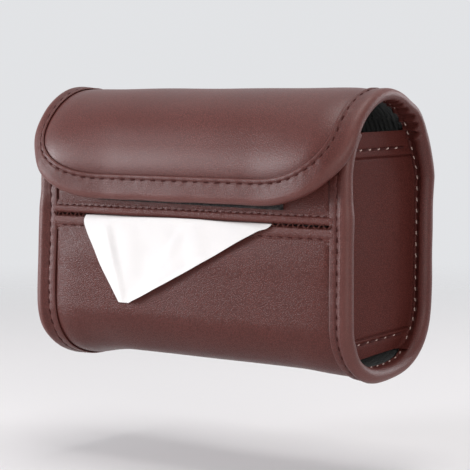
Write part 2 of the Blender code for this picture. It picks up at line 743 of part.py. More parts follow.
def main():
    """Build the whole holder."""
    for old in list(bpy.data.objects):
        bpy.data.objects.remove(old, do_unlink=True)
    parts = bpy.data.collections.new("car_tissue_holder")
    cutters = bpy.data.collections.new("cutters")
    bpy.context.scene.collection.children.link(parts)
    bpy.context.scene.collection.children.link(cutters)

    leather = make_material("leather", (0.170, 0.065, 0.058), 0.45)
    board = make_material("board", (0.300, 0.290, 0.270), 0.60)
    lining = make_material("lining", (0.012, 0.014, 0.014), 0.80)
    strip = make_material("strip", (0.014, 0.012, 0.012), 0.90)
    film = make_material("film", (0.720, 0.740, 0.760), 0.30)
    paper = make_material("paper", (0.900, 0.900, 0.890), 0.85)
    metal = make_material("metal", (0.560, 0.540, 0.510), 0.25, 1.0)

    body = pouch_profile()
    wraps = pouch_walls(body, parts, leather, board, lining)
    pouch_ends(body, parts, leather, lining)
    closure_loop_strip(body, parts, strip)
    tissue_pack(parts, film)
    tissue_sheet(parts, paper)

    over = flap_profile()
    moving = flap(over, parts, leather, board, lining, strip)
    hinge_y, hinge_z = over.place(0.0)
    hang_from(moving, "flap_axis", Vector((0.0, hinge_y, hinge_z)), parts)

    holes = hanging_straps(body, parts, cutters, leather, metal)
    for wrap in wraps:
        cut(wrap, holes)


main()
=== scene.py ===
"""Dressed scene of the car tissue holder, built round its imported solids.

Metres, +Z up, the front faces -Y. Each leather, cloth, paper and metal piece is made
again here with its seams, rolls, folds and grain, where its solid stands.
"""

import logging
import math
from dataclasses import dataclass, field
from enum import Enum
from typing import Callable, Optional, Sequence

import bmesh
import bpy
import numpy as np
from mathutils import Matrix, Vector


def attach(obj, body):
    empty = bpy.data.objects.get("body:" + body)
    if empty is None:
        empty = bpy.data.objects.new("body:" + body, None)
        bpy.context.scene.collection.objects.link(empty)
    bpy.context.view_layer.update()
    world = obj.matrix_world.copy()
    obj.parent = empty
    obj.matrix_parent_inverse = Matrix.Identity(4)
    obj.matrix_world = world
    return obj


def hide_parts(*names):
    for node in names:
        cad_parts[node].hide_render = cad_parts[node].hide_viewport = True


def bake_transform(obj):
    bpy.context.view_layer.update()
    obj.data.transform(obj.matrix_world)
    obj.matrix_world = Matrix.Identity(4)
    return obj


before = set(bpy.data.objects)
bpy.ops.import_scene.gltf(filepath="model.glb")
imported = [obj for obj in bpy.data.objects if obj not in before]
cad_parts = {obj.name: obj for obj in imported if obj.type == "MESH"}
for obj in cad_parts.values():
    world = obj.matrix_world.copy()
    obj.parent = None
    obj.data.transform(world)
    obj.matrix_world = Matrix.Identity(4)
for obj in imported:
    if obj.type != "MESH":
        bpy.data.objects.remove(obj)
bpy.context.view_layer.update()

Array = np.ndarray
Piece = bpy.types.Object
Material = bpy.types.Material
Socket = bpy.types.NodeSocket
Tree = bpy.types.NodeTree
Colour = tuple[float, float, float]
Place = Callable[[Array, Array, Array], Array]

LOG = logging.getLogger("car_tissue_holder")


class Side(Enum):
    """The two ends of the holder, seen from the front."""

    LEFT = -1
    RIGHT = 1

    @property
    def word(self) -> str:
        """The side's name in piece and node names."""
        return self.name.lower()


class Body(Enum):
    """The bodies that pieces ride on."""

    POUCH = "pouch"
    FLAP = "flap"
    STRAP_LEFT = "strap_left"
    STRAP_RIGHT = "strap_right"


@dataclass
class HolderSizes:
    """Sizes of the closed holder, most as in the part's source, and what follows from them.

    The arch's crest, the lowest point, the front's rounding under, how far the back is drawn in,
    and the loop strip's lift were read again from the photo.
    """

    pouch_width: float = 0.210
    pouch_height: float = 0.155
    pouch_depth: float = 0.086
    bottom_rise: float = 0.0380
    arch_rise: float = 0.0478
    crest_setback: float = 0.0470
    lowest_setback: float = 0.0500
    front_bottom_rise: float = 0.0310
    hinge_drop: float = 0.0184
    mouth_drop: float = 0.0219
    slot_drop: float = 0.0707
    flap_edge_drop: float = 0.0604
    gusset_drop: float = 0.0229
    gusset_rise: float = 0.0099
    loop_strip_drop: float = 0.0636
    loop_strip_lift: float = 0.0021
    strap_fold_drop: float = 0.0494
    leather: float = 0.0010
    board: float = 0.0020
    flap_board: float = 0.0012
    lining: float = 0.0005
    edge_leather: float = 0.0008
    fit_gap: float = 0.0003
    edge_gap: float = 0.0006
    mouth_border: float = 0.0090
    slot_border: float = 0.0055
    flap_side_border: float = 0.0120
    flap_front_border: float = 0.0135
    slot_gap: float = 0.0020
    flap_overhang: float = 0.0030
    corner_width: float = 0.058
    corner_height: float = 0.042
    corner_power: float = 2.3
    curl: float = 0.0031
    curl_width: float = 0.0240
    gusset_inset: float = 0.0130
    flange_width: float = 0.0105
    strip_thickness: float = 0.0024
    rear_draw: float = 0.0020

    def __post_init__(self) -> None:
        """Work out depths, heights, walls and half widths."""
        gap = self.fit_gap
        # How far a bound edge stands out from the leather it binds
        self.binding_proud = gap + self.edge_leather
        # The outer leather's depth, its half height and its middle plane
        self.body_depth = self.pouch_depth - 2 * self.binding_proud
        self.half_height = self.pouch_height / 2 - self.binding_proud
        self.middle_y = -self.body_depth / 2
        # Heights where the top's arch and the rounded bottom begin, at the back and in front
        self.arch_foot = self.half_height - self.arch_rise
        self.bottom_foot = self.bottom_rise - self.half_height
        self.front_bottom_foot = self.front_bottom_rise - self.half_height
        # Walls: to the board's inner face, lined, with a gusset's flange, and the flap's
        self.board_inner = self.leather + gap + self.board
        self.pouch_wall = self.board_inner + gap + self.lining
        self.side_wall = self.board_inner + gap + self.leather
        self.flap_wall = self.leather + 2 * gap + self.flap_board + self.lining
        # How far the flap's outer leather stands in front of the pouch's
        self.flap_standoff = 3 * gap + 2 * self.strip_thickness + self.flap_wall
        # Half widths: flap, gussets' outer faces, lining, clear room inside
        self.flap_half = self.pouch_width / 2 + self.flap_overhang
        self.gusset_outer = self.pouch_width / 2 - self.gusset_inset
        self.lining_half = self.gusset_outer - self.leather - gap
        self.inside_half = self.lining_half - self.lining - gap

    def height_below_top(self, drop: float) -> float:
        """A height given by its drop below the top of the leather."""
        return self.half_height - drop

    def setback(self, wall: float) -> float:
        """How far a wall's layers stay inside the outer line of its bound edge."""
        inner = wall / 2 + self.fit_gap
        reach = math.sqrt(inner ** 2 - (wall / 2) ** 2)
        return inner + self.edge_leather - reach + self.edge_gap


SIZES = HolderSizes()


def eased(share: Array | float) -> Array:
    """A share kept between 0 and 1 that leaves 0 and reaches 1 smoothly.

    Args:
        share: the plain share or shares.

    Returns:
        The eased shares.
    """
    kept = np.clip(share, 0.0, 1.0)
    return kept * kept * (3.0 - 2.0 * kept)


def bell(distance: Array | float, width: float) -> Array:
    """A smooth bump of height 1 round distance 0.

    Args:
        distance: how far each point is from the middle of the bump.
        width: the distance at which the bump has fallen to about a third.

    Returns:
        The bump's height at each point.
    """
    return np.exp(-np.square(np.asarray(distance) / width))


def near_edge(distance: Array, width: float) -> Array:
    """How near to an edge places are: 1 at the edge and 0 from a width away."""
    return np.clip(1 - distance / width, 0, 1)


class Ripple:
    """Soft, irregular waves over a surface, the same on every run."""

    def __init__(self, seed: int, wave_length: float, waves: int = 9) -> None:
        """Choose the waves.

        Args:
            seed: starting value of the fixed random draws.
            wave_length: the usual distance between two crests.
            waves: how many plain waves are added up.
        """
        draws = np.random.default_rng(seed)
        angle = draws.uniform(0.0, math.pi, waves)
        number = 2 * math.pi / (wave_length * draws.uniform(0.6, 1.7, waves))
        self.across = number * np.cos(angle)
        self.along = number * np.sin(angle)
        self.phase = draws.uniform(0.0, 2 * math.pi, waves)

    def at(self, across: Array | float, along: Array | float) -> Array:
        """Height of the waves, mostly between -1 and 1.

        Args:
            across: first place value of each point.
            along: second place value of each point.

        Returns:
            The summed waves at each point.
        """
        total = 0.0
        for one, two, phase in zip(self.across, self.along, self.phase):
            total = total + np.sin(one * across + two * along + phase)
        return np.asarray(total) / math.sqrt(len(self.phase))


class WallSurface:
    """The outer leather's surface: a side view curve carried across the width."""

    def __init__(self, points: Array, outward: Array) -> None:
        """Keep the curve and measure its length.

        Args:
            points: the curve's (y, z) points in order.
            outward: the outward direction at each point.
        """
        gaps = np.linalg.norm(np.diff(points, axis=0), axis=1)
        keep = np.concatenate(([True], gaps > 1e-8))
        self.points = points[keep]
        self.outward = outward[keep]
        steps = np.linalg.norm(np.diff(self.points, axis=0), axis=1)
        self.lengths = np.concatenate(([0.0], np.cumsum(steps)))
        self.end = float(self.lengths[-1])

    def raised(self, x: Array, length: Array, height: Array) -> Array:
        """The height at each place across and along, after any bulge of this surface."""
        return height + 0.0 * x * length

    def at(self, x: Array, length: Array, height: Array | float = 0.0) -> Array:
        """Points in space for places on the surface.

        Args:
            x: places across the width.
            length: places along the curve; beyond its ends it goes on straight.
            height: heights above the outer leather.

        Returns:
            The points, with x, y and z on the last axis.
        """
        x, length, height = np.broadcast_arrays(
            np.asarray(x, float), np.asarray(length, float), np.asarray(height, float)
        )
        inside = np.clip(length, 0.0, self.end)
        y = np.interp(inside, self.lengths, self.points[:, 0])
        z = np.interp(inside, self.lengths, self.points[:, 1])
        out_y = np.interp(inside, self.lengths, self.outward[:, 0])
        out_z = np.interp(inside, self.lengths, self.outward[:, 1])
        size = np.hypot(out_y, out_z)
        out_y, out_z = out_y / size, out_z / size
        beyond = length - inside
        top = self.raised(x, inside, height)
        turn = self.turn()
        y = y + top * out_y - turn * beyond * out_z
        z = z + top * out_z + turn * beyond * out_y
        return np.stack((x, y, z), axis=-1)

    def layer(self, name: str, x: Array, length: Array, top: Array | float,
              under: Array | float, sharp: float = 50.0) -> Piece:
        """A closed layer that follows the surface.

        Args:
            name: the piece's name.
            x: places across the width.
            length: places along the curve.
            top: heights of its outer face.
            under: heights of its inner face.
            sharp: edges bent by more than this many degrees stay sharp.

        Returns:
            The new object.
        """
        return shell(name, self.at(x, length, top), self.at(x, length, under), sharp)

    def turn(self) -> float:
        """Which way the curve runs round: 1 if it leaves with its outer side on the right."""
        step = self.points[1] - self.points[0]
        out = self.outward[0]
        return 1.0 if out[0] * step[1] - out[1] * step[0] > 0 else -1.0

    def length_at(self, z: float, front: bool) -> float:
        """The length where the curve has a height.

        Args:
            z: the height.
            front: whether to look on the front half or the back half.

        Returns:
            The length along the curve.
        """
        half = self.points[:, 0] < SIZES.middle_y
        half = half if front else ~half
        order = np.argsort(self.points[half, 1])
        return float(np.interp(z, self.points[half, 1][order], self.lengths[half][order]))


def arc(setback: float, reach: float, foot: float, rise: float, start: float,
        end: float) -> tuple[Array, Array]:
    """An ellipse's arc in the side view.

    Args:
        setback: distance of its centre in front of the back.
        reach: half of the ellipse's depth.
        foot: height of its centre.
        rise: half of its height.
        start: first angle in degrees, from the back.
        end: last angle in degrees.

    Returns:
        The arc's points and its outward directions.
    """
    angle = np.radians(np.linspace(start, end, 181))
    points = np.stack((-setback + reach * np.cos(angle), foot + rise * np.sin(angle)), -1)
    outward = np.stack((np.cos(angle) / reach, np.sin(angle) / rise), -1)
    return points, outward / np.linalg.norm(outward, axis=1, keepdims=True)


def joined_arcs(arcs: Sequence[tuple[Array, Array]]) -> tuple[Array, Array]:
    """The points and the outward directions of several arcs as one curve."""
    return np.concatenate([one[0] for one in arcs]), np.concatenate([one[1] for one in arcs])


def hinge_angle() -> float:
    """The angle on the top's arch where the flap folds, in degrees."""
    rise = SIZES.height_below_top(SIZES.hinge_drop) - SIZES.arch_foot
    return math.degrees(math.asin(rise / SIZES.arch_rise))


class PouchSurface(WallSurface):
    """The pouch's outer leather, whose ends bulge a little at the back and the bottom."""

    back_bulge = 0.0054
    back_middle = 0.0030
    back_spread = 0.0300
    bottom_left = 0.0016
    bottom_right = -0.0006
    bottom_sag = 0.0030
    front_bulge = 0.0018
    front_middle = -0.0420
    front_spread = 0.0290
    heel_bulge = 0.0038
    heel = (-0.0150, -0.0650)
    heel_spread = 0.0230

    def __init__(self, points: Array, outward: Array) -> None:
        """Keep the curve and find where it bulges.

        Args:
            points: the curve's (y, z) points in order.
            outward: the outward direction at each point.
        """
        super().__init__(points, outward)
        y, z = self.points[:, 0], self.points[:, 1]
        plain = 1 - eased((self.lengths - self.end + 0.032) / 0.024)
        self.back = self.back_bulge * bell(z - self.back_middle, self.back_spread) * plain * eased(
            (y + 0.012) / 0.010)
        self.front = self.front_bulge * bell(z - self.front_middle, self.front_spread) * eased(
            (-0.060 - y) / 0.015)
        self.under = eased((-0.045 - z) / 0.025)
        self.back = self.back + self.heel_bulge * bell(
            np.hypot(y - self.heel[0], z - self.heel[1]), self.heel_spread)

    def raised(self, x: Array, length: Array, height: Array) -> Array:
        """Heights with the ends bulged and the middle of the bottom drawn in.

        Args:
            x: places across the width.
            length: places along the curve.
            height: heights above the outer leather.

        Returns:
            The heights above the plain curve.
        """
        back = np.interp(length, self.lengths, self.back)
        under = np.interp(length, self.lengths, self.under)
        front = np.interp(length, self.lengths, self.front)
        side = eased((np.abs(x) - 0.070) / 0.024)
        end = np.where(np.asarray(x) < 0, self.bottom_left, self.bottom_right)
        drawn = np.where(np.asarray(x) < 0, np.abs(x) - 0.055, (np.abs(x) - 0.060) * 0.85)
        bottom = end * side - self.bottom_sag * (1 - eased(drawn / 0.034))
        left = eased((-np.asarray(x) - 0.064) / 0.034)
        return height + back * side + under * bottom + front * left


def pouch_surface() -> PouchSurface:
    """The pouch's outer leather from the mouth down the front, under the bottom and up."""
    front_rise = SIZES.arch_rise - SIZES.flap_standoff
    mouth = SIZES.height_below_top(SIZES.mouth_drop) - SIZES.arch_foot
    mouth_angle = math.degrees(math.asin(mouth / front_rise))
    crest, lowest = SIZES.crest_setback, SIZES.lowest_setback
    return PouchSurface(*joined_arcs([
        arc(crest, SIZES.body_depth - crest, SIZES.arch_foot, front_rise, 180 - mouth_angle, 180),
        arc(lowest, SIZES.body_depth - lowest, SIZES.front_bottom_foot,
            SIZES.front_bottom_rise, 180, 270),
        arc(lowest, lowest, SIZES.bottom_foot, SIZES.bottom_rise, 270, 360),
        arc(crest, crest, SIZES.arch_foot, SIZES.arch_rise, 0, hinge_angle()),
    ]))


class FlapSurface(WallSurface):
    """The flap's outer leather, whose middle stands out and whose sides curl back."""

    lift = 0.0030
    lift_edge = 0.0140
    hold_low = 0.0550
    hold_ease = 0.0250
    hold_half = 0.0450
    hold_side = 0.0400
    shift = 0.0010
    crest_curl = 0.0019
    crest_start = 0.0070
    crest_ease = 0.0140

    def __init__(self, points: Array, outward: Array) -> None:
        """Keep the curve and find its crest and its shoulder.

        Args:
            points: the curve's (y, z) points in order.
            outward: the outward direction at each point.
        """
        super().__init__(points, outward)
        self.crest = float(self.lengths[np.argmax(self.points[:, 1])])
        self.shoulder = self.length_at(SIZES.arch_foot, True)

    def front_share(self, length: Array) -> Array:
        """How far a place is from the crest, 0, towards the shoulder, 1."""
        return eased((length - self.crest) / (self.shoulder - self.crest))

    def at(self, x: Array, length: Array, height: Array | float = 0.0) -> Array:
        """Points in space, all set a little to the right as the flap sits on the real one."""
        points = super().at(x, length, height)
        points[..., 0] += self.shift
        return points

    def raised(self, x: Array, length: Array, height: Array) -> Array:
        """Heights with the middle lifted, the sides curled and the closure held down.

        Args:
            x: places across the width.
            length: places along the curve.
            height: heights above the outer leather.

        Returns:
            The heights above the plain curve.
        """
        reach = np.abs(x)
        front = self.front_share(length)
        side = 1.0 - eased((reach - SIZES.flap_half + self.lift_edge) / self.lift_edge)
        low = eased((length - self.end + self.hold_low) / self.hold_ease)
        held = low * (1.0 - eased((reach - self.hold_half) / self.hold_side))
        crest = self.crest_curl * (1 - front) * (np.asarray(x) > 0) * eased(
            (length - self.crest_start) / self.crest_ease)
        curl = (SIZES.curl * front + crest) * eased(
            (reach - SIZES.flap_half + SIZES.curl_width) / SIZES.curl_width)
        return height + front * self.lift * side * (1.0 - held) - curl


def flap_surface() -> FlapSurface:
    """The flap's outer leather from the fold over the top and down to its front edge."""
    crest = SIZES.crest_setback
    front = SIZES.body_depth + SIZES.flap_standoff
    edge = SIZES.height_below_top(SIZES.flap_edge_drop)
    drop = np.linspace(SIZES.arch_foot, edge, 61)
    flat = np.stack((np.full(61, -front), drop), -1)
    return FlapSurface(*joined_arcs([
        arc(crest, crest, SIZES.arch_foot, SIZES.arch_rise, hinge_angle(), 90),
        arc(crest, front - crest, SIZES.arch_foot, SIZES.arch_rise, 90, 180),
        (flat, np.tile((-1.0, 0.0), (61, 1))),
    ]))


def shell(name: str, outer: Array, inner: Array, sharp: float = 50.0) -> Piece:
    """A closed mesh between two grids of points.

    Args:
        name: the piece's name.
        outer: rows by columns of points on the outer face.
        inner: the same number of points on the inner face.
        sharp: edges bent by more than this many degrees stay sharp.

    Returns:
        The new object, linked to the scene.
    """
    rows, columns = outer.shape[:2]
    points = np.concatenate((outer.reshape(-1, 3), inner.reshape(-1, 3)))
    index = np.arange(rows * columns).reshape(rows, columns)
    under = index + rows * columns

    def quads(grid: Array) -> Array:
        """The grid's faces as rows of four corners."""
        corners = (grid[:-1, :-1], grid[:-1, 1:], grid[1:, 1:], grid[1:, :-1])
        return np.stack(corners, -1).reshape(-1, 4)

    walk = np.concatenate((index[0, :-1], index[:-1, -1], index[-1, :0:-1], index[:0:-1, 0]))
    following = np.roll(walk, -1)
    rim = np.stack((following, walk, walk + rows * columns, following + rows * columns), -1)
    faces = np.concatenate((quads(index), quads(under)[:, ::-1], rim))
    return mesh_piece(name, points, faces.tolist(), sharp)


def mesh_piece(name: str, points: Array, faces: list, sharp: float = 50.0) -> Piece:
    """An object from points and faces, turned so that its faces look outward.

    Args:
        name: the piece's name.
        points: the corner points.
        faces: the faces as lists of point numbers.
        sharp: edges bent by more than this many degrees stay sharp.

    Returns:
        The new object, linked to the scene.
    """
    mesh = bpy.data.meshes.new(name)
    mesh.from_pydata(points.tolist(), [], faces)
    mesh.update()
    builder = bmesh.new()
    builder.from_mesh(mesh)
    inside_out = builder.calc_volume(signed=True) < 0
    builder.free()
    if inside_out:
        mesh.flip_normals()
    mesh.shade_smooth()
    mesh.set_sharp_from_angle(angle=math.radians(sharp))
    piece = bpy.data.objects.new(name, mesh)
    bpy.context.scene.collection.objects.link(piece)
    return piece


def tubes(name: str, centres: Array, skins: Array) -> Piece:
    """Many short closed tubes in one mesh.

    Args:
        name: the piece's name.
        centres: tubes by rings of middle points, used for the ends.
        skins: tubes by rings by points of the tubes' skins.

    Returns:
        The new object, linked to the scene.
    """
    count, rings, turn = skins.shape[:3]
    per_tube = rings * turn + 2
    points = [part for number in range(count)
              for part in (skins[number].reshape(-1, 3), centres[number, [0, -1]])]
    ring = np.arange(turn)
    following = np.roll(ring, -1)
    pattern = []
    for low in range(0, (rings - 1) * turn, turn):
        high = low + turn
        sides = (low + ring, low + following, high + following, high + ring)
        pattern += np.stack(sides, -1).tolist()
    first, last, top = rings * turn, rings * turn + 1, (rings - 1) * turn
    for one, two in zip(ring.tolist(), following.tolist()):
        pattern += [[first, two, one], [last, top + one, top + two]]
    faces = [[start + corner for corner in face]
             for start in range(0, count * per_tube, per_tube) for face in pattern]
    return mesh_piece(name, np.concatenate(points), faces)


# Thickness of a stitch along its length
STITCH_SIZE = np.array([0.55, 0.8, 0.95, 1.0, 1.0, 1.0, 0.95, 0.8, 0.55])


def stitches(name: str, at: Place, along: Array, beside: Array, above: Array,
             radius: float) -> Piece:
    """Stitches in one mesh, each thinner at its ends.

    Args:
        name: the piece's name.
        at: gives points for places along a line, beside it and above it.
        along: places of the stitches' middle points, one row for each stitch.
        beside: likewise, beside the line.
        above: likewise, above it.
        radius: the thread's radius.

    Returns:
        The new object.
    """
    angle = np.linspace(0, 2 * math.pi, 9)[:-1]
    swell = (radius * STITCH_SIZE)[None, :, None]
    skins = at(along[..., None] + 0.0 * angle, beside[..., None] + swell * np.cos(angle),
               above[..., None] + swell * np.sin(angle))
    return tubes(name, at(along, beside, above), skins)


@dataclass(frozen=True)
class Thread:
    """A row of stitches: spacing, visible length, thickness and slant of each stitch."""

    pitch: float
    visible: float
    radius: float
    slant: float = 0.00025
    bury: float = 0.0006

    def row(self, name: str, place: Place, start: float, end: float) -> Piece:
        """Stitches laid along a line.

        Args:
            name: the piece's name.
            place: gives points for places along the line, beside it and above it.
            start: first place along the line.
            end: last place along the line.

        Returns:
            One object with all stitches of the row.
        """
        count = max(int((end - start) / self.pitch), 1)
        first = start + ((end - start) - count * self.pitch) / 2 + self.pitch / 2
        middles = first + self.pitch * np.arange(count)
        share = np.array([-1.0, -0.93, -0.78, -0.4, 0.0, 0.4, 0.78, 0.93, 1.0])
        rise = np.array([-1.0, -0.35, 0.25, 0.85, 1.0, 0.85, 0.25, -0.35, -1.0])
        height = np.where(rise < 0, rise * self.bury, rise * self.radius)
        along = middles[:, None] + share * self.visible / 2
        return stitches(name, place, along, share * self.slant + 0.0 * along,
                        height + 0.0 * along, self.radius)

    def sew(self, name: str, place: Place, start: float, end: float, body: Body,
            material: Material) -> None:
        """A row of stitches, as above, that rides on a body."""
        dress(self.row(name, place, start, end), body, material, None)


@dataclass(frozen=True)
class FoldedStrip:
    """Cross section of a leather strip folded over a wall's edge and stitched through it."""

    wall: float
    inner_border: float
    seam_stitch: float
    inner_stitch: float
    roll: float
    rim: float
    inner_roll: float
    pucker: float = 0.00012
    groove: float = 0.00030
    bead: float = 0.00022
    fade: float = 0.0
    nose: float = 1.0
    groove_width: float = 0.00060
    gather_width: float = 0.0022
    thinned: float = 0.0008

    def section(self, border: Array | float, inner_cut: Array | float = 0.0) -> dict[str, Array]:
        """The section's values from the seam on the outside round to the inner edge.

        Args:
            border: width of the outer leg, one value or one for each section.
            inner_cut: how much narrower the inner leg is than usual, likewise.

        Returns:
            Arrays named inset, height (the strip's middle), out_inset, out_height (the
            direction away from the wall), half (half thickness), extra (roll and groove),
            and pull (how much the stitches gather the leather).
        """
        border = np.atleast_1d(np.asarray(border, float))[:, None]
        cut = np.atleast_1d(np.asarray(inner_cut, float))[:, None]
        inner_border, inner_stitch = self.inner_border - cut, self.inner_stitch - cut
        stitch = border - self.seam_stitch
        whole = SIZES.edge_leather / 2
        radius = self.wall / 2 + SIZES.fit_gap + whole
        centre = radius + whole
        ones = np.ones_like(border)
        leg = border - (border - centre) * np.linspace(0, 1, 49)[:-1] ** 1.15
        turn = ones * np.linspace(0, math.pi, 23)
        inner = ones * centre + (inner_border - centre) * np.linspace(0, 1, 31)[1:]

        def joined(outer: Array, middle: Array, far: Array) -> Array:
            """One value for the outer leg, the turn and the inner leg."""
            return np.concatenate((outer, middle, far), 1)

        side, up = np.sin(turn).clip(0) ** self.nose, np.cos(turn)
        up = np.sign(up) * np.abs(up) ** self.nose
        height = joined(0 * leg + radius, radius * up, 0 * inner - radius)
        half = whole * np.sqrt(1 - near_edge(border - leg, self.thinned) ** 2) + 0.00004
        fading = eased(1 - (border - leg) / self.fade) if self.fade > 0 else 0.0 * leg
        half = half * (1 - fading) + 0.00006 * fading
        tail = np.clip((inner_border - inner) / self.thinned, 0.0, 1.0)
        inner_half = whole * (0.35 + 0.65 * np.sqrt(1 - (1 - tail) ** 2))
        from_stitch = np.clip(stitch - leg, 0, None)
        start = self.roll * eased(from_stitch / np.maximum(stitch - centre, 0.0004))
        between = np.clip((leg - stitch) / self.seam_stitch, 0, 1)
        outer = start + self.bead * np.sin(math.pi * between) ** 0.8
        outer = outer - self.groove * bell(leg - stitch, self.groove_width)
        outer = outer * (1 - fading) - 0.0004 * fading
        share = turn / math.pi
        bend = np.where(share < 0.5, self.roll + (self.rim - self.roll) * eased(2 * share),
                        self.rim + (self.inner_roll - self.rim) * eased(2 * share - 1))
        away = (inner - centre) / np.maximum(inner_stitch - centre, 0.0001)
        far = self.inner_roll * (1 - eased(away))
        far = far - 0.7 * self.groove * bell(inner - inner_stitch, self.groove_width)
        return {
            "inset": joined(leg, centre - radius * side, inner),
            "height": height - self.wall / 2,
            "out_inset": joined(0 * leg, -np.sin(turn), 0 * inner),
            "out_height": joined(0 * leg + 1, np.cos(turn), 0 * inner - 1),
            "half": joined(half, 0 * turn + whole, inner_half),
            "extra": joined(outer, bend, far),
            "pull": joined(bell(leg - stitch, self.gather_width), 0 * turn,
                           bell(inner - inner_stitch, self.gather_width)),
        }


def strip_shell(name: str, part: dict[str, Array], rise: Array,
                at: Callable[[Array, Array], Array]) -> Piece:
    """A folded strip from its sections.

    Args:
        name: the piece's name.
        part: the sections' values.
        rise: how much the outer face stands out further.
        at: gives points for insets and heights.

    Returns:
        The new object.
    """
    faces = []
    for depth in (part["half"] + rise, -part["half"]):
        inset = part["inset"] + depth * part["out_inset"]
        faces.append(at(inset, part["height"] + depth * part["out_height"]))
    return shell(name, *faces)


@dataclass
class EdgeLine:
    """The outer line of a bound edge, as places on a wall's surface."""

    x: Array
    length: Array
    inward_x: Array
    inward_length: Array
    border: Array
    inner_cut: Array | float = 0.0
    walked: Array = field(init=False)

    def __post_init__(self) -> None:
        """Measure how far along the line each point is."""
        steps = np.hypot(np.diff(self.x), np.diff(self.length))
        self.walked = np.concatenate(([0.0], np.cumsum(steps)))
        self.inner_cut = self.inner_cut + 0.0 * self.x

    def values(self, along: Array, last: Array) -> list[Array]:
        """The line's own values and a further one at places along it.

        Args:
            along: the places.
            last: the further value at each point of the line.

        Returns:
            x, length, inward_x, inward_length and the further value at each place.
        """
        return [np.interp(along, self.walked, one) for one in (
            self.x, self.length, self.inward_x, self.inward_length, last)]

    def spaced(self, spacing: float) -> "EdgeLine":
        """The same line with even points.

        Args:
            spacing: about how far apart the points are.

        Returns:
            A new line.
        """
        count = max(int(round(self.walked[-1] / spacing)), 2)
        x, length, in_x, in_length, border = self.values(
            np.linspace(0, self.walked[-1], count + 1), self.border)
        size = np.hypot(in_x, in_length)
        return EdgeLine(x, length, in_x / size, in_length / size, border)

    def strip(self, name: str, surface: WallSurface, cut: FoldedStrip, pitch: float,
              folds: Optional[Callable[[Array, Array], Array]] = None,
              swell: Array | float = 1.0,
              inner_swell: Array | float = 1.0) -> Piece:
        """The folded strip along the line.

        Args:
            name: the piece's name.
            surface: the wall's surface.
            cut: the strip's cross section.
            pitch: spacing of the stitches that gather it.
            folds: gives further height for the inner leg, from places along and inset.
            swell: how full the roll is outside, one share or one for each section.
            inner_swell: the same for the inside.

        Returns:
            The new object.
        """
        part = cut.section(self.border, self.inner_cut)
        full = np.clip(part["extra"], 0, None)
        outside = eased((part["out_height"] + 1) / 2)
        fullness = [np.broadcast_to(one, self.x.shape)[:, None] for one in (swell, inner_swell)]
        fullness = fullness[1] + (fullness[0] - fullness[1]) * outside
        part["extra"] = part["extra"] - full * (1 - fullness)
        walk = self.walked[:, None]
        waves = Ripple(len(name), 0.011)
        gather = np.cos(2 * math.pi * walk / pitch) + 0.8 * waves.at(walk, part["inset"])
        ends = eased(np.minimum(walk, self.walked[-1] - walk) / 0.003)
        rise = part["extra"] + cut.pucker * ends * part["pull"] * gather
        rise = rise + 0.00012 * ends * waves.at(walk * 0.35, part["inset"] * 0.5)
        if folds is not None:
            rise = rise + inner_share(part) * folds(walk, part["inset"])
        return strip_shell(name, part, rise, lambda inset, height: surface.at(
            self.x[:, None] + inset * self.inward_x[:, None],
            self.length[:, None] + inset * self.inward_length[:, None], height))

    def stitch_place(self, surface: WallSurface, cut: FoldedStrip, outside: bool = True) -> Place:
        """Places for a row of stitches that runs beside the line.

        Args:
            surface: the wall's surface.
            cut: the strip's cross section.
            outside: whether the row is on the outer face.

        Returns:
            A function of places along, beside and above the row.
        """
        insets = self.border - cut.seam_stitch if outside else cut.inner_stitch - self.inner_cut
        up = 1.0 if outside else -1.0
        level = SIZES.binding_proud - cut.groove
        if not outside:
            level = -cut.wall - SIZES.binding_proud + 0.7 * cut.groove

        def place(along: Array, beside: Array, above: Array) -> Array:
            """The point at a place along, beside and above the row."""
            x, length, in_x, in_length, inset = self.values(along, insets)
            shift = inset + beside
            return surface.at(x + shift * in_x, length + shift * in_length, level + up * above)

        return place


def inner_share(part: dict[str, Array]) -> Array:
    """How far round to the inner leg each place of a strip's section is."""
    return eased((0.5 - part["out_height"]) / 1.5)


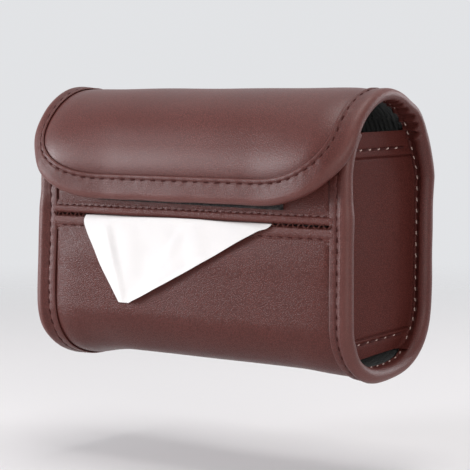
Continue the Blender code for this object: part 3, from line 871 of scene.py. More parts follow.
class Nodes:
    """A short way to place and join the nodes of one tree."""

    def __init__(self, tree: Tree) -> None:
        """Work on a tree."""
        self.tree = tree

    def fill(self, node: bpy.types.Node, inputs: dict) -> bpy.types.Node:
        """Give a node its inputs.

        Args:
            node: the node.
            inputs: values or sockets for the named or numbered inputs.

        Returns:
            The node.
        """
        for name, value in inputs.items():
            if isinstance(value, Socket):
                self.tree.links.new(value, node.inputs[name])
            else:
                node.inputs[name].default_value = value
        return node

    def add(self, kind: str, inputs: Optional[dict] = None, **settings: object) -> bpy.types.Node:
        """Place a node.

        Args:
            kind: the node's type name, without its ShaderNode start.
            inputs: values or sockets for the named or numbered inputs.
            settings: values for the node's own settings.

        Returns:
            The node.
        """
        node = self.tree.nodes.new(f"ShaderNode{kind}")
        for name, value in settings.items():
            setattr(node, name, value)
        return self.fill(node, inputs or {})

    def math(self, operation: str, one: object, two: object) -> Socket:
        """The result of a sum on two values or sockets."""
        return self.add("Math", {0: one, 1: two}, operation=operation).outputs[0]

    def ramp(self, value: Socket, low: float, high: float) -> Socket:
        """A value stretched so that low becomes 0 and high becomes 1, eased."""
        return self.add("MapRange", {"Value": value, "From Min": low, "From Max": high},
                        interpolation_type="SMOOTHSTEP").outputs["Result"]

    def span(self, value: Socket, low: float, high: float) -> Socket:
        """A share turned into a value from low to high."""
        return self.add("MapRange", {"Value": value, "To Min": low, "To Max": high}).outputs[
            "Result"]

    def noise(self, spot: Socket, scale: object, detail: float,
              distortion: float = 0.0) -> Socket:
        """Cloudy noise at a place."""
        return self.add("TexNoise", {"Vector": spot, "Scale": scale, "Detail": detail,
                                     "Distortion": distortion}).outputs["Fac"]

    def mix(self, share: object, one: object, two: object) -> Socket:
        """Two colours mixed by a share."""
        full = [(*value, 1.0) if isinstance(value, tuple) else value for value in (one, two)]
        return self.add("Mix", {0: share, 6: full[0], 7: full[1]}, data_type="RGBA").outputs[2]


class SharedEffect(Nodes):
    """A shader node group that more than one finish uses, made once."""

    def __init__(self, name: str, **inputs: float) -> None:
        """Open a group.

        Args:
            name: the group's name.
            inputs: starting values of its inputs, beside the place that it reads.
        """
        super().__init__(bpy.data.node_groups.new(name, "ShaderNodeTree"))
        face = self.tree.interface
        face.new_socket(name="Vector", in_out="INPUT", socket_type="NodeSocketVector")
        for label, start in inputs.items():
            face.new_socket(name=label, in_out="INPUT",
                            socket_type="NodeSocketFloat").default_value = start
        self.given = self.tree.nodes.new("NodeGroupInput").outputs
        self.spot = self.given["Vector"]

    def close(self, **outputs: Socket) -> Tree:
        """Put the results out under their names and give the finished group."""
        for label in outputs:
            self.tree.interface.new_socket(name=label, in_out="OUTPUT",
                                           socket_type="NodeSocketFloat")
        self.fill(self.tree.nodes.new("NodeGroupOutput"), outputs)
        return self.tree


def leather_grain() -> Tree:
    """Pebbled leather grain with soft colour clouds."""
    group = SharedEffect("leather grain", Cells=900.0, Clouds=26.0)
    spot, cells = group.spot, group.given["Cells"]
    bend = group.add("TexNoise", {"Vector": spot, "Scale": group.math("MULTIPLY", cells, 0.42),
                                  "Detail": 1.0}).outputs["Color"]
    shift = group.add("VectorMath", {0: bend, 1: (0.5, 0.5, 0.5)}, operation="SUBTRACT")
    small = group.add("VectorMath", {0: shift.outputs[0], "Scale": 0.0009}, operation="SCALE")
    bent = group.add("VectorMath", {0: spot, 1: small.outputs[0]}, operation="ADD")
    cell = group.add("TexVoronoi", {"Vector": bent.outputs[0], "Scale": cells},
                     feature="DISTANCE_TO_EDGE")
    pebble = group.ramp(cell.outputs["Distance"], 0.0, 0.32)
    fine = group.noise(spot, group.math("MULTIPLY", cells, 2.6), 2.0)
    broad = group.noise(spot, group.math("MULTIPLY", cells, 0.16), 2.0)
    height = group.math("MULTIPLY", pebble, group.span(broad, 0.65, 1.0))
    height = group.math("ADD", height, group.math("MULTIPLY", fine, 0.35))
    cloud = group.noise(spot, group.given["Clouds"], 3.0)
    return group.close(Height=height, Tone=group.ramp(cloud, 0.32, 0.68))


def crossed_threads() -> Tree:
    """Fine crossed threads, for cloth, tape and paper fibre."""
    group = SharedEffect("crossed threads", Threads=1500.0)
    threads = group.given["Threads"]
    waves = [group.add("TexWave", {"Vector": group.spot, "Scale": threads, "Distortion": 1.2,
                                   "Detail": 1.0}, bands_direction=direction).outputs["Fac"]
             for direction in ("X", "Z")]
    speck = group.noise(group.spot, group.math("MULTIPLY", threads, 0.7), 3.0)
    height = group.math("ADD", group.math("MAXIMUM", *waves), group.math("MULTIPLY", speck, 0.8))
    return group.close(Height=height, Tone=group.ramp(speck, 0.35, 0.7))


def rubbed_edges() -> Tree:
    """A patchy mask for edges with rubbing and a painted highlight, from the mesh's own values."""
    group = SharedEffect("rubbed edges", Amount=1.0)
    worn = group.add("Attribute", attribute_name="worn").outputs["Fac"]
    mask = group.math("MULTIPLY", worn, group.span(group.noise(group.spot, 90.0, 3.0), 0.55, 1.0))
    return group.close(Mask=group.math("MULTIPLY", mask, group.given["Amount"]))


GRAIN, WEAVE, WEAR_AND_HIGHLIGHT = leather_grain(), crossed_threads(), rubbed_edges()


class NewMaterial(Nodes):
    """A material in the making, with its Principled shader and the object's own places."""

    def __init__(self, name: str) -> None:
        """Start a material of a name."""
        self.made = bpy.data.materials.new(name)
        self.made.use_nodes = True
        super().__init__(self.made.node_tree)
        self.shader = self.tree.nodes["Principled BSDF"]
        self.spot = self.add("TexCoord").outputs["Object"]

    def effect(self, group: Tree, **inputs: float) -> bpy.types.Node:
        """A shared effect placed with its own values: its outputs."""
        return self.add("Group", {"Vector": self.spot, **inputs}, node_tree=group).outputs

    def done(self, relief: tuple[Socket, float, float],
             inputs: dict) -> Material:
        """Join everything to the shader.

        Args:
            relief: the bump's height, strength and depth.
            inputs: values or sockets for the shader's named inputs.

        Returns:
            The finished material.
        """
        bump = self.add("Bump", dict(zip(("Height", "Strength", "Distance"), relief)))
        self.fill(self.shader, {**inputs, "Normal": bump.outputs["Normal"]})
        return self.made


@dataclass(frozen=True)
class LeatherFinish:
    """Grained satin leather with clouds of tone, and a lighter colour where edges have rubbing and
    a painted highlight.
    """

    name: str
    dark: Colour
    light: Colour
    roughness: float
    specular: float
    grain: float
    # Colour and strength of the lighter edges: rubbing together with a painted highlight on rolls
    # and seam edges
    rubbed: Colour = (0.190, 0.075, 0.066)
    pit_shade: float = 0.72
    cells: float = 950.0
    depth: float = 0.00028
    wear: float = 0.5

    def material(self) -> Material:
        """Make the material."""
        nodes = NewMaterial(self.name)
        grain = nodes.effect(GRAIN, Cells=self.cells)
        colour = nodes.mix(grain["Tone"], self.dark, self.light)
        deep = tuple(self.pit_shade * part for part in self.dark)
        colour = nodes.mix(nodes.ramp(grain["Height"], 0.25, 0.9), deep, colour)
        # Lighter colour on the edges: rubbing together with a painted highlight on rolls and seam
        # edges
        colour = nodes.mix(nodes.effect(WEAR_AND_HIGHLIGHT, Amount=self.wear)["Mask"], colour, self.rubbed)
        rough = nodes.span(grain["Tone"], self.roughness - 0.01, self.roughness + 0.02)
        return nodes.done((grain["Height"], self.grain, self.depth), {
            "Base Color": colour, "Roughness": rough, "Specular IOR Level": self.specular})


@dataclass(frozen=True)
class ClothFinish:
    """Woven cloth, tape or board: crossed threads with specks of tone."""

    name: str
    dark: Colour
    light: Colour
    roughness: float = 0.85
    threads: float = 1500.0
    relief: float = 0.5
    depth: float = 0.00015
    sheen: float = 0.0

    def material(self) -> Material:
        """Make the material."""
        nodes = NewMaterial(self.name)
        weave = nodes.effect(WEAVE, Threads=self.threads)
        rough = nodes.span(weave["Tone"], self.roughness - 0.05, self.roughness + 0.05)
        return nodes.done((weave["Height"], self.relief, self.depth), {
            "Base Color": nodes.mix(weave["Tone"], self.dark, self.light), "Roughness": rough,
            "Sheen Weight": self.sheen})


@dataclass(frozen=True)
class ThreadFinish:
    """Twisted sewing thread."""

    name: str
    dark: Colour
    light: Colour

    def material(self) -> Material:
        """Make the material."""
        nodes = NewMaterial(self.name)
        twist = nodes.add("TexWave", {"Vector": nodes.spot, "Scale": 700.0, "Distortion": 2.0},
                          bands_direction="DIAGONAL").outputs["Fac"]
        return nodes.done((twist, 0.6, 0.0001), {
            "Base Color": nodes.mix(twist, self.dark, self.light), "Roughness": 0.7,
            "Specular IOR Level": 0.12})


@dataclass(frozen=True)
class PaperFinish:
    """Soft white tissue with a faint embossed dot pattern and fibres."""

    colour: Colour = (0.90, 0.90, 0.895)
    shade: Colour = (0.84, 0.845, 0.85)

    def material(self) -> Material:
        """Make the material."""
        nodes = NewMaterial("tissue")
        dots = nodes.add("TexVoronoi", {"Vector": nodes.spot, "Scale": 520.0, "Randomness": 0.25})
        dot = nodes.math("MULTIPLY", nodes.ramp(dots.outputs["Distance"], 0.2, 0.5), 0.5)
        height = nodes.math("ADD", dot, nodes.noise(nodes.spot, 900.0, 4.0, 1.5))
        cloud = nodes.ramp(nodes.noise(nodes.spot, 70.0, 2.0), 0.4, 0.8)
        colour = nodes.mix(nodes.math("MULTIPLY", cloud, 0.5), self.colour, self.shade)
        return nodes.done((height, 0.25, 0.00012), {
            "Base Color": colour, "Roughness": 0.95, "Specular IOR Level": 0.25})


@dataclass(frozen=True)
class FilmFinish:
    """Thin crinkled wrapping film."""

    colour: Colour = (0.74, 0.76, 0.78)
    shade: Colour = (0.60, 0.64, 0.68)

    def material(self) -> Material:
        """Make the material."""
        nodes = NewMaterial("pack film")
        crease = nodes.add("TexVoronoi", {"Vector": nodes.spot, "Scale": 55.0},
                           feature="DISTANCE_TO_EDGE").outputs["Distance"]
        fine = nodes.noise(nodes.spot, 160.0, 3.0, 2.0)
        height = nodes.math("MULTIPLY", fine, 0.6)
        height = nodes.math("ADD", nodes.ramp(crease, 0.0, 0.15), height)
        colour = nodes.mix(nodes.ramp(fine, 0.35, 0.7), self.shade, self.colour)
        return nodes.done((height, 0.45, 0.0006), {"Base Color": colour, "Roughness": 0.28})


@dataclass(frozen=True)
class MetalFinish:
    """Nickel plate with fine turning marks and smudges."""

    colour: Colour = (0.60, 0.57, 0.53)
    shade: Colour = (0.42, 0.40, 0.37)

    def material(self) -> Material:
        """Make the material."""
        nodes = NewMaterial("nickel plate")
        mark = nodes.ramp(nodes.noise(nodes.spot, 220.0, 4.0), 0.4, 0.7)
        return nodes.done((nodes.noise(nodes.spot, 2600.0, 1.0), 0.12, 0.00005), {
            "Base Color": nodes.mix(mark, self.colour, self.shade),
            "Roughness": nodes.span(mark, 0.18, 0.42), "Metallic": 1.0})


class Finishes:
    """Every material of the holder, made once."""

    def __init__(self) -> None:
        """Make the materials."""
        # The panel, edge and gusset leathers are darker copies of the flap's one leather: painted
        # shade, strongest on the gussets.
        self.panel = LeatherFinish("panel leather", (0.100, 0.0248, 0.0198),
                                   (0.119, 0.0308, 0.0252), 0.37, 0.22, 0.42).material()
        self.flap = LeatherFinish("flap leather", (0.112, 0.029, 0.024), (0.134, 0.036, 0.030),
                                  0.40, 0.36, 0.20).material()
        self.edge = LeatherFinish("edge leather", (0.102, 0.026, 0.0215),
                                  (0.122, 0.0325, 0.027), 0.41, 0.29, 0.26).material()
        self.gusset = LeatherFinish("gusset leather", (0.090, 0.0215, 0.0175),
                                    (0.102, 0.0250, 0.0205), 0.56, 0.08, 0.30).material()
        self.lining = ClothFinish("ribbed lining", (0.026, 0.029, 0.030),
                                  (0.060, 0.065, 0.064), roughness=0.7, sheen=0.1).material()
        self.closure = ClothFinish("hook and loop tape", (0.006, 0.006, 0.006),
                                   (0.075, 0.065, 0.065), threads=620.0, relief=0.9,
                                   depth=0.0006).material()
        self.board = ClothFinish("grey board", (0.25, 0.24, 0.22), (0.34, 0.33, 0.30),
                                 threads=300.0, relief=0.2).material()
        self.dark_thread = ThreadFinish("maroon thread", (0.034, 0.008, 0.007),
                                        (0.072, 0.018, 0.016)).material()
        self.brown_thread = ThreadFinish("brown thread", (0.085, 0.026, 0.022),
                                         (0.150, 0.060, 0.052)).material()
        self.light_thread = ThreadFinish("pale thread", (0.40, 0.27, 0.24),
                                         (0.72, 0.58, 0.53)).material()
        self.tissue = PaperFinish().material()
        self.film = FilmFinish().material()
        self.metal = MetalFinish().material()


def dress(piece: Piece, body: Optional[Body], material: Material,
          slot: Optional[str], nodes: Sequence[str] = ()) -> None:
    """Give a piece its material and the body it rides on, and hide the imported parts it stands
    for.

    Args:
        piece: the new piece.
        body: the body it rides on, or None where it is blended between two.
        material: its material.
        slot: not used.
        nodes: the imported parts it stands for, which are hidden.
    """
    piece.data.materials.append(material)
    if nodes:
        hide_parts(*nodes)
    if body is not None:
        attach(piece, body.value)
    LOG.info("%s: %d faces", piece.name, len(piece.data.polygons))


def mark_worn(piece: Piece, values: Array) -> None:
    """Write how much rubbing and painted highlight each point of a piece has.

    Args:
        piece: the piece.
        values: one value for each point, from 0 to 1.
    """
    layer = piece.data.attributes.new("worn", "FLOAT", "POINT")
    layer.data.foreach_set("value", np.asarray(values, np.float32).ravel())


def steps_between(start: float, end: float, spacing: float) -> Array:
    """Evenly spaced values from start to end, about as far apart as spacing."""
    return np.linspace(start, end, max(int(round(abs(end - start) / spacing)), 1) + 1)


# The gussets' rows of stitches: name, height, radius of the pale dots (thread with a painted
# highlight), slope from front to back
HEM_ROWS = (("top", 0.0443, 0.00040, 0.0012), ("bottom", -0.0576, 0.00026, 0.0030))


@dataclass
class Pouch:
    """The lined shell: wrap, upper front, gussets, bound edges and slot."""

    surface: PouchSurface
    finishes: Finishes
    fold_room: float = 0.0070
    front_pillow: float = 0.0015
    low_pillow: float = 0.0008
    back_pillow: float = 0.0002
    pillow_reach: float = 0.0100
    left_pillow: float = 0.0026
    left_reach: float = 0.0150
    lip_height: float = 0.0007
    wave: float = 0.00025
    rib_pitch: float = 0.0030
    rib_height: float = 0.00035
    lower_lip: float = 0.0082
    upper_lip: float = 0.0071
    left_half: float = 0.1040
    left_border: float = 0.0134
    right_border: float = 0.0108
    widening: float = 0.0460
    low_left: float = 0.0012
    plate_skew: float = 0.0045
    low_window: float = 0.0028
    slot_tuck: float = 0.0022
    slot_ends: tuple[float, float] = (-0.0688, 0.0585)
    hem_top: float = 0.0405
    hem_low: float = -0.0557
    hem_height: float = 0.0008
    hem_crease: float = 0.0009
    hem_cut: float = 0.00016
    gusset_bulge: float = 0.0012
    gusset_wave: float = 0.0003
    gusset_corner: float = 0.0016
    gusset_tilt: float = 0.0012
    low_tilt: float = 0.0018
    stitch_sink: float = 0.0006

    def __post_init__(self) -> None:
        """Work out the slot's place and the bound edges' cross sections."""
        middle = self.surface.length_at(SIZES.height_below_top(SIZES.slot_drop), True)
        self.slot_top = middle - SIZES.slot_gap / 2
        self.slot_bottom = middle + SIZES.slot_gap / 2
        self.fold = self.surface.end - self.fold_room
        self.cuts = {side: FoldedStrip(
            wall=SIZES.side_wall, inner_border=SIZES.gusset_inset - SIZES.fit_gap,
            seam_stitch=0.0046, inner_stitch=0.0110, roll=roll, rim=0.0013, inner_roll=0.0014,
        ) for side, roll in ((Side.LEFT, 0.0016), (Side.RIGHT, 0.0010))}

    def build(self) -> None:
        """Make every piece of the shell."""
        self.panels()
        self.linings()
        for side in Side:
            self.bound_edge(side)
            self.gusset(side)
            self.gusset_lining(side)
        self.slot()
        self.boards()

    def near_fold(self, length: Array | float) -> Array:
        """How far the ends have widened towards the fold, from 0 to 1."""
        return eased((np.asarray(length) - self.fold + self.widening) / (self.widening - 0.002))

    def half(self, length: Array, side: Side) -> Array:
        """Distance of an end line from the middle, which grows to the flap's at the fold."""
        plain = self.left_half if side is Side.LEFT else SIZES.pouch_width / 2
        lower = self.low_left * bell(length - self.surface.length_at(-0.036, True), 0.026)
        grown = plain + (SIZES.flap_half - SIZES.rear_draw - plain) * self.near_fold(length)
        return grown + lower * (side is Side.LEFT)

    def border(self, length: Array, side: Side) -> Array:
        """Width of a bound edge's outer leg."""
        plain = self.left_border if side is Side.LEFT else self.right_border
        return plain + (SIZES.flap_side_border - plain) * self.near_fold(length)

    def plate_shift(self, y: Array | float) -> Array:
        """How much further out a gusset's plate lies at a depth than at the front."""
        return self.plate_skew * np.clip(1 + np.asarray(y) / SIZES.body_depth, 0, 1) ** 2

    def place_at(self, length: Array | float) -> tuple[Array, Array]:
        """The wall's y and z at a length."""
        points, lengths = self.surface.points, self.surface.lengths
        return np.interp(length, lengths, points[:, 0]), np.interp(length, lengths, points[:, 1])

    def below_gusset(self, length: Array | float) -> Array:
        """How much the inner leg is narrower, and the lining wider, under the gussets."""
        z = self.place_at(length)[1]
        return self.low_window * eased((SIZES.gusset_rise - SIZES.half_height + 0.006 - z) / 0.012)

    def across(self, length: Array, columns: int) -> Array:
        """Places across from one bound edge to the other."""
        inset = SIZES.setback(SIZES.side_wall)
        left = -self.half(length, Side.LEFT) + inset
        right = self.half(length, Side.RIGHT) - inset
        return left + (right - left) * np.linspace(0, 1, columns)[None, :]

    def spans(self, wrap: str, front: str) -> tuple[tuple[str, float, float], ...]:
        """Names for the wrap's and the upper front's layer, and where each starts and ends."""
        edge = SIZES.setback(SIZES.pouch_wall)
        return (wrap, self.slot_bottom + edge, self.fold), (front, edge, self.slot_top - edge)

    def panel_height(self, x: Array, length: Array) -> Array:
        """Height of a panel that swells a little between its seams.

        Args:
            x: places across.
            length: places along.

        Returns:
            The panel's height above the plain wall.
        """
        y = self.place_at(length)[0]
        left = self.half(length, Side.LEFT) - self.border(length, Side.LEFT)
        right = self.half(length, Side.RIGHT) - self.border(length, Side.RIGHT)
        gap = np.minimum(np.minimum(x + left, right - x), np.abs(length - self.fold))
        inside = np.clip(gap, 0.0, None)
        front = eased((-0.055 - y) / 0.020) * eased((length - self.slot_bottom) / 0.010)
        back = eased((y + 0.022) / 0.015)
        amount = self.low_pillow + (self.front_pillow - self.low_pillow) * front
        amount = amount + (self.back_pillow - self.low_pillow) * back
        swell = amount * (1 - np.exp(-inside / self.pillow_reach))
        swell = swell + front * self.left_pillow * (1 - np.exp(-inside / self.left_reach)) * (
            1 - eased((x + left) / 0.09))
        from_slot = np.minimum(np.abs(length - self.slot_top), np.abs(length - self.slot_bottom))
        off_mouth = eased((length - 0.0085) / 0.004)
        free = eased((from_slot - 0.003) / 0.022) * off_mouth
        waves = self.wave * Ripple(5, 0.075).at(x, length) * eased(inside / 0.03)
        waves = waves * (1 - 0.8 * back)
        lip = self.lip_height * eased((from_slot - 0.0030) / 0.0035) * (1 - eased(
            (from_slot - 0.012) / 0.020)) * eased(inside / 0.002) * off_mouth
        return (swell + waves) * free + lip

    def panels(self) -> None:
        """The wrap round front, bottom and back, and the upper front panel."""
        for name, start, end in self.spans("outer_wrap", "upper_front_panel"):
            length = steps_between(start, end, 0.0011)[:, None]
            x = self.across(length, 160)
            piece = self.surface.layer(f"{name}_leather", x, length, self.panel_height(x, length),
                                       -SIZES.leather)
            dress(piece, Body.POUCH, self.finishes.panel, "outer_leather", (name,))

    def ribs(self, x: Array) -> Array:
        """Height of the lining's ribs, which run up and down."""
        wave = np.cos(2 * math.pi * x / self.rib_pitch + 0.9 * np.sin(x / 0.017))
        return self.rib_height * (0.5 + 0.5 * wave) ** 0.8

    def linings(self) -> None:
        """The ribbed lining of the wrap and of the upper front."""
        depth = SIZES.board_inner + SIZES.fit_gap
        for name, start, end in self.spans("wrap_lining", "upper_front_lining"):
            length = steps_between(start, end, 0.004)[:, None]
            shift = self.plate_shift(self.place_at(length)[0])
            half = SIZES.lining_half + shift + self.below_gusset(length)
            x = half * np.linspace(-1, 1, 340)[None, :]
            piece = self.surface.layer(f"{name}_cloth", x, length, -depth,
                                       -depth - SIZES.lining - self.ribs(x))
            dress(piece, Body.POUCH, self.finishes.lining, "lining", (name,))

    def boards(self) -> None:
        """The two stiffening boards, which follow the leather inside the wall."""
        top = SIZES.leather + SIZES.fit_gap
        for name, start, end in self.spans("wrap_stiffener", "upper_front_stiffener"):
            length = steps_between(start, min(end, self.fold - 0.001), 0.0016)[:, None]
            piece = self.surface.layer(f"{name}_board", self.across(length, 61), length, -top,
                                       -(top + SIZES.board))
            dress(piece, Body.POUCH, self.finishes.board, "board", (name,))

    def edge_line(self, side: Side) -> EdgeLine:
        """The pouch's end line, from the mouth to the fold.

        Args:
            side: the end of the holder.

        Returns:
            The line on that side.
        """
        length = steps_between(0.0, self.fold, 0.0009)
        ones = np.ones_like(length)
        sign = side.value
        half = self.half(length, side)
        shift = self.plate_shift(self.place_at(length)[0])
        leg = half - SIZES.gusset_outer - shift - SIZES.fit_gap
        leg = leg - self.below_gusset(length)
        return EdgeLine(sign * half, length, -sign * ones, 0 * ones, self.border(length, side),
                        self.cuts[side].inner_border - leg)

    def bound_edge(self, side: Side) -> None:
        """The folded strip along one end, with its two rows of stitches.

        Args:
            side: the end of the holder.
        """
        line, cut, name = self.edge_line(side), self.cuts[side], f"pouch_binding_{side.word}"
        y, z = self.place_at(line.length)
        swell = 1 - 0.6 * eased((-0.050 - y) / 0.020) * eased((z - 0.008) / 0.012)
        inner_swell = swell - 0.9 * (1 - eased((z + 0.070) / 0.014))
        reach = line.walked[-1] + self.fold_room
        dark = Thread(pitch=0.0056, visible=0.0032, radius=0.00026)
        piece = line.strip(f"{name}_leather", self.surface, cut, dark.pitch,
                           lambda walk, inset: gathers(walk - reach, inset),
                           inner_swell if side is Side.LEFT else swell, inner_swell)
        # Rubbing and painted highlight along the strip's roll and seam edge
        mark_worn(piece, strip_wear(cut, line))
        dress(piece, Body.POUCH, self.finishes.edge, "edge_leather", (name,))
        for word, thread, outside, material in (
            ("stitches", dark, True, self.finishes.dark_thread),
            ("inner_stitches", Thread(pitch=0.0061, visible=0.0024, radius=0.00030), False,
             self.finishes.light_thread),
        ):
            thread.sew(f"{name}_{word}", line.stitch_place(self.surface, cut, outside), 0.004,
                       line.walked[-1] - 0.002, Body.POUCH, material)

    def wall_places(self, z: Array, depth: float, x: float) -> list[Array]:
        """Where a buried layer of the front wall and of the back wall lies.

        Args:
            z: the heights.
            depth: how deep the layer lies.
            x: the place across.

        Returns:
            The y of the front wall and the y of the back wall at each height.
        """
        lift = self.surface.raised(x, self.surface.lengths, -depth)
        raised = self.surface.points + self.surface.outward * lift[:, None]
        in_front = self.surface.points[:, 0] < SIZES.middle_y
        places = []
        for half in (in_front, ~in_front):
            order = np.argsort(raised[half, 1])
            places.append(np.interp(z, raised[half, 1][order], raised[half, 0][order]))
        return places

    def gusset_faces(self, plate: Array, y: Array, z: Array,
                     across: Array) -> tuple[Array, Array]:
        """How far out a gusset's two faces lie, with its hems, bulge, waves and creases.

        Args:
            plate: how far out the plain plate lies.
            y: depths.
            z: heights.
            across: shares of the way from front to back.

        Returns:
            Places of the outer face and of the inner face.
        """
        hem_top, hem_low, half = self.hem_top, self.hem_low, SIZES.leather / 2
        arch = np.sin(math.pi * across)
        hem = eased((z - hem_top + 0.0002) / 0.0003) + eased((hem_low + 0.0002 - z) / 0.0003)
        crease = bell(z - hem_top + 0.0006, 0.0005) + bell(z - hem_low - 0.0006, 0.0005)
        inside = eased((hem_top - z) / 0.001) * eased((z - hem_low) / 0.001)
        crease = crease + 0.6 * inside * bell(across - 0.045, 0.007)
        bulge = self.gusset_bulge * arch ** 0.7 * (1 - 0.5 * hem)
        bulge = bulge + self.gusset_wave * Ripple(11, 0.045).at(y, z) * arch
        corner = bell((1 - np.abs(2 * across - 1)), 0.035) * self.gusset_corner
        sunk = self.stitch_sink * sum(bell(z - row[1], 0.0009) for row in HEM_ROWS)
        face = self.hem_height * hem - self.hem_crease * crease * eased(across / 0.03)
        face = face + bulge - sunk + corner
        return plate + half + face, plate - half + 0.4 * bulge + corner

    def gusset(self, side: Side) -> None:
        """One end panel: a plate with a flange at its front and at its back.

        Args:
            side: the end of the holder.
        """
        low = SIZES.gusset_rise - SIZES.half_height
        top = SIZES.height_below_top(SIZES.gusset_drop)
        hem_top, hem_low, sign, half = self.hem_top, self.hem_low, side.value, SIZES.leather / 2
        z = np.unique(np.round(np.concatenate((
            steps_between(low, top, 0.0010),
            steps_between(hem_top - 0.0014, hem_top + 0.0006, self.hem_cut),
            steps_between(hem_low - 0.0006, hem_low + 0.0014, self.hem_cut))), 6))[:, None]
        depth, at_x = SIZES.board_inner + SIZES.fit_gap + half, sign * SIZES.gusset_outer
        front, back = self.wall_places(z, depth, at_x)
        across = np.linspace(0, 1, 65)[None, :]
        y = front + (back - front) * across
        plate = SIZES.gusset_outer - half + self.plate_shift(y)
        outer, inner = self.gusset_faces(plate, y, z, across)
        far = SIZES.gusset_outer - half + SIZES.flange_width
        fronts = np.concatenate((far + 0 * z, (far + plate[:, :1]) / 2), 1)
        backs = np.concatenate(((far + plate[:, -1:]) / 2, far + 0 * z), 1)
        tilt = self.gusset_tilt + self.low_tilt * (1 - eased((z + 0.055) / 0.05))
        lift = tilt * (np.concatenate((0 * across[:, :2], across, 0 * across[:, :2] + 1), 1) - 0.5)
        lift = lift + 0.0010 * (1 - eased((z - low) / 0.004))
        faces = []
        for middle, way, flat in ((outer, 1, y), (inner, -1, y - half * (1 - 2 * across))):
            flat = np.concatenate((np.repeat(front + way * half, 2, axis=1), flat,
                                   np.repeat(back - way * half, 2, axis=1)), 1)
            faces.append(np.stack((sign * np.concatenate((fronts, middle, backs), 1), flat,
                                   z + lift + 0 * flat), -1))
        piece = shell(f"gusset_{side.word}_leather", *faces)
        dress(piece, Body.POUCH, self.finishes.gusset, "outer_leather", (f"gusset_{side.word}",))
        self.hem_stitches(side, depth)

    def hem_stitches(self, side: Side, depth: float) -> None:
        """The stitches along a gusset's two hems: long dark dashes that are thread with the
        painted shade of its holes, and short pale dots between them that are thread with a painted
        highlight.

        Args:
            side: the end of the holder.
            depth: how deep in the wall the gusset's flanges lie.
        """
        sign = side.value
        for word, height, radius, slope in HEM_ROWS:
            ends = self.wall_places(np.array([height]), depth, sign * SIZES.gusset_outer)
            start, end = float(ends[0][0]) + 0.003, float(ends[1][0]) - 0.003

            def place(along: Array, beside: Array, above: Array) -> Array:
                """The point at a place along, beside and above the hem's row."""
                share = np.clip((along - start) / (end - start), 0, 1)
                level = self.hem_height - 0.0003 + 0.0006 * np.sin(math.pi * share) ** 0.7
                out = SIZES.gusset_outer + self.plate_shift(along) + level + above
                return np.stack((sign * out, along, height + slope * (share - 0.5) + beside), -1)

            name = f"gusset_{side.word}_{word}"
            # Long dark dashes: thread together with the painted shade of its holes
            dark = Thread(pitch=0.0083, visible=0.0064, radius=0.00054, slant=0.0002)
            dark.sew(f"{name}_dark_stitches", place, start, end, Body.POUCH,
                     self.finishes.dark_thread)
            # Short pale dots between them: thread with a painted highlight
            light = Thread(pitch=dark.pitch, visible=0.0017, radius=radius)
            light.sew(f"{name}_light_stitches", place, start + light.pitch / 2,
                      end - light.pitch / 2, Body.POUCH, self.finishes.light_thread)

    def gusset_lining(self, side: Side) -> None:
        """The cloth on the inner face of one gusset.

        Args:
            side: the end of the holder.
        """
        low = SIZES.gusset_rise - SIZES.half_height + SIZES.pouch_wall
        top = SIZES.height_below_top(SIZES.gusset_drop) - SIZES.fit_gap
        z = steps_between(low, top, 0.004)[:, None]
        front, back = self.wall_places(z, SIZES.pouch_wall + SIZES.fit_gap,
                                       side.value * SIZES.lining_half)
        y = front + (back - front) * np.linspace(0, 1, 150)[None, :]
        x = SIZES.lining_half + self.plate_shift(y)
        faces = [np.stack((side.value * (x - depth), y, z + 0 * y), -1)
                 for depth in (0.0, SIZES.lining + self.ribs(y))]
        piece = shell(f"gusset_lining_{side.word}_cloth", *faces)
        dress(piece, Body.POUCH, self.finishes.lining, "lining", (f"gusset_lining_{side.word}",))

    def slot(self) -> None:
        """The turned edges of the slot and of the mouth, and the stitches that close its ends."""
        ends = [side.value * float(
            self.half(self.slot_bottom, side) - self.border(self.slot_bottom, side)
            + self.slot_tuck) for side in Side]
        inside = [-SIZES.inside_half, SIZES.inside_half]
        usual = Thread(pitch=0.0062, visible=0.0034, radius=0.00022)
        upper = Thread(pitch=0.0046, visible=0.0028, radius=0.00024)
        for name, length, toward, border, seam_stitch, fade, roll, (left, right), thread in (
            ("mouth", 0.0, 1.0, SIZES.mouth_border, 0.0048, 0.0, 0.0004, inside, usual),
            ("upper_slot", self.slot_top, -1.0, self.upper_lip, 0.0029, 0.0036, 0.0004, ends,
             upper),
            ("lower_slot", self.slot_bottom, 1.0, self.lower_lip, 0.0028, 0.0036, 0.0002, ends,
             usual),
        ):
            x = steps_between(left, right, 0.0009)
            ones = np.ones_like(x)
            line = EdgeLine(x, length * ones, 0 * ones, toward * ones, border * ones)
            cut = FoldedStrip(
                wall=SIZES.pouch_wall, inner_border=min(border, SIZES.slot_border),
                seam_stitch=seam_stitch, inner_stitch=SIZES.slot_border - 0.0013, roll=roll,
                rim=0.0006, inner_roll=0.0001, groove=0.00015, bead=0.0, fade=fade,
                pucker=0.00006, nose=0.45,
            )
            piece = line.strip(f"{name}_binding_leather", self.surface, cut, thread.pitch)
            # Painted highlight along the lips' rolls, with some rubbing
            mark_worn(piece, 0.6 * strip_wear(cut, line))
            dress(piece, Body.POUCH, self.finishes.panel, "edge_leather", (f"{name}_binding",))
            thread.sew(f"{name}_binding_stitches", line.stitch_place(self.surface, cut), 0.002,
                       line.walked[-1] - 0.002, Body.POUCH, self.finishes.dark_thread)
        self.closed_ends(ends)

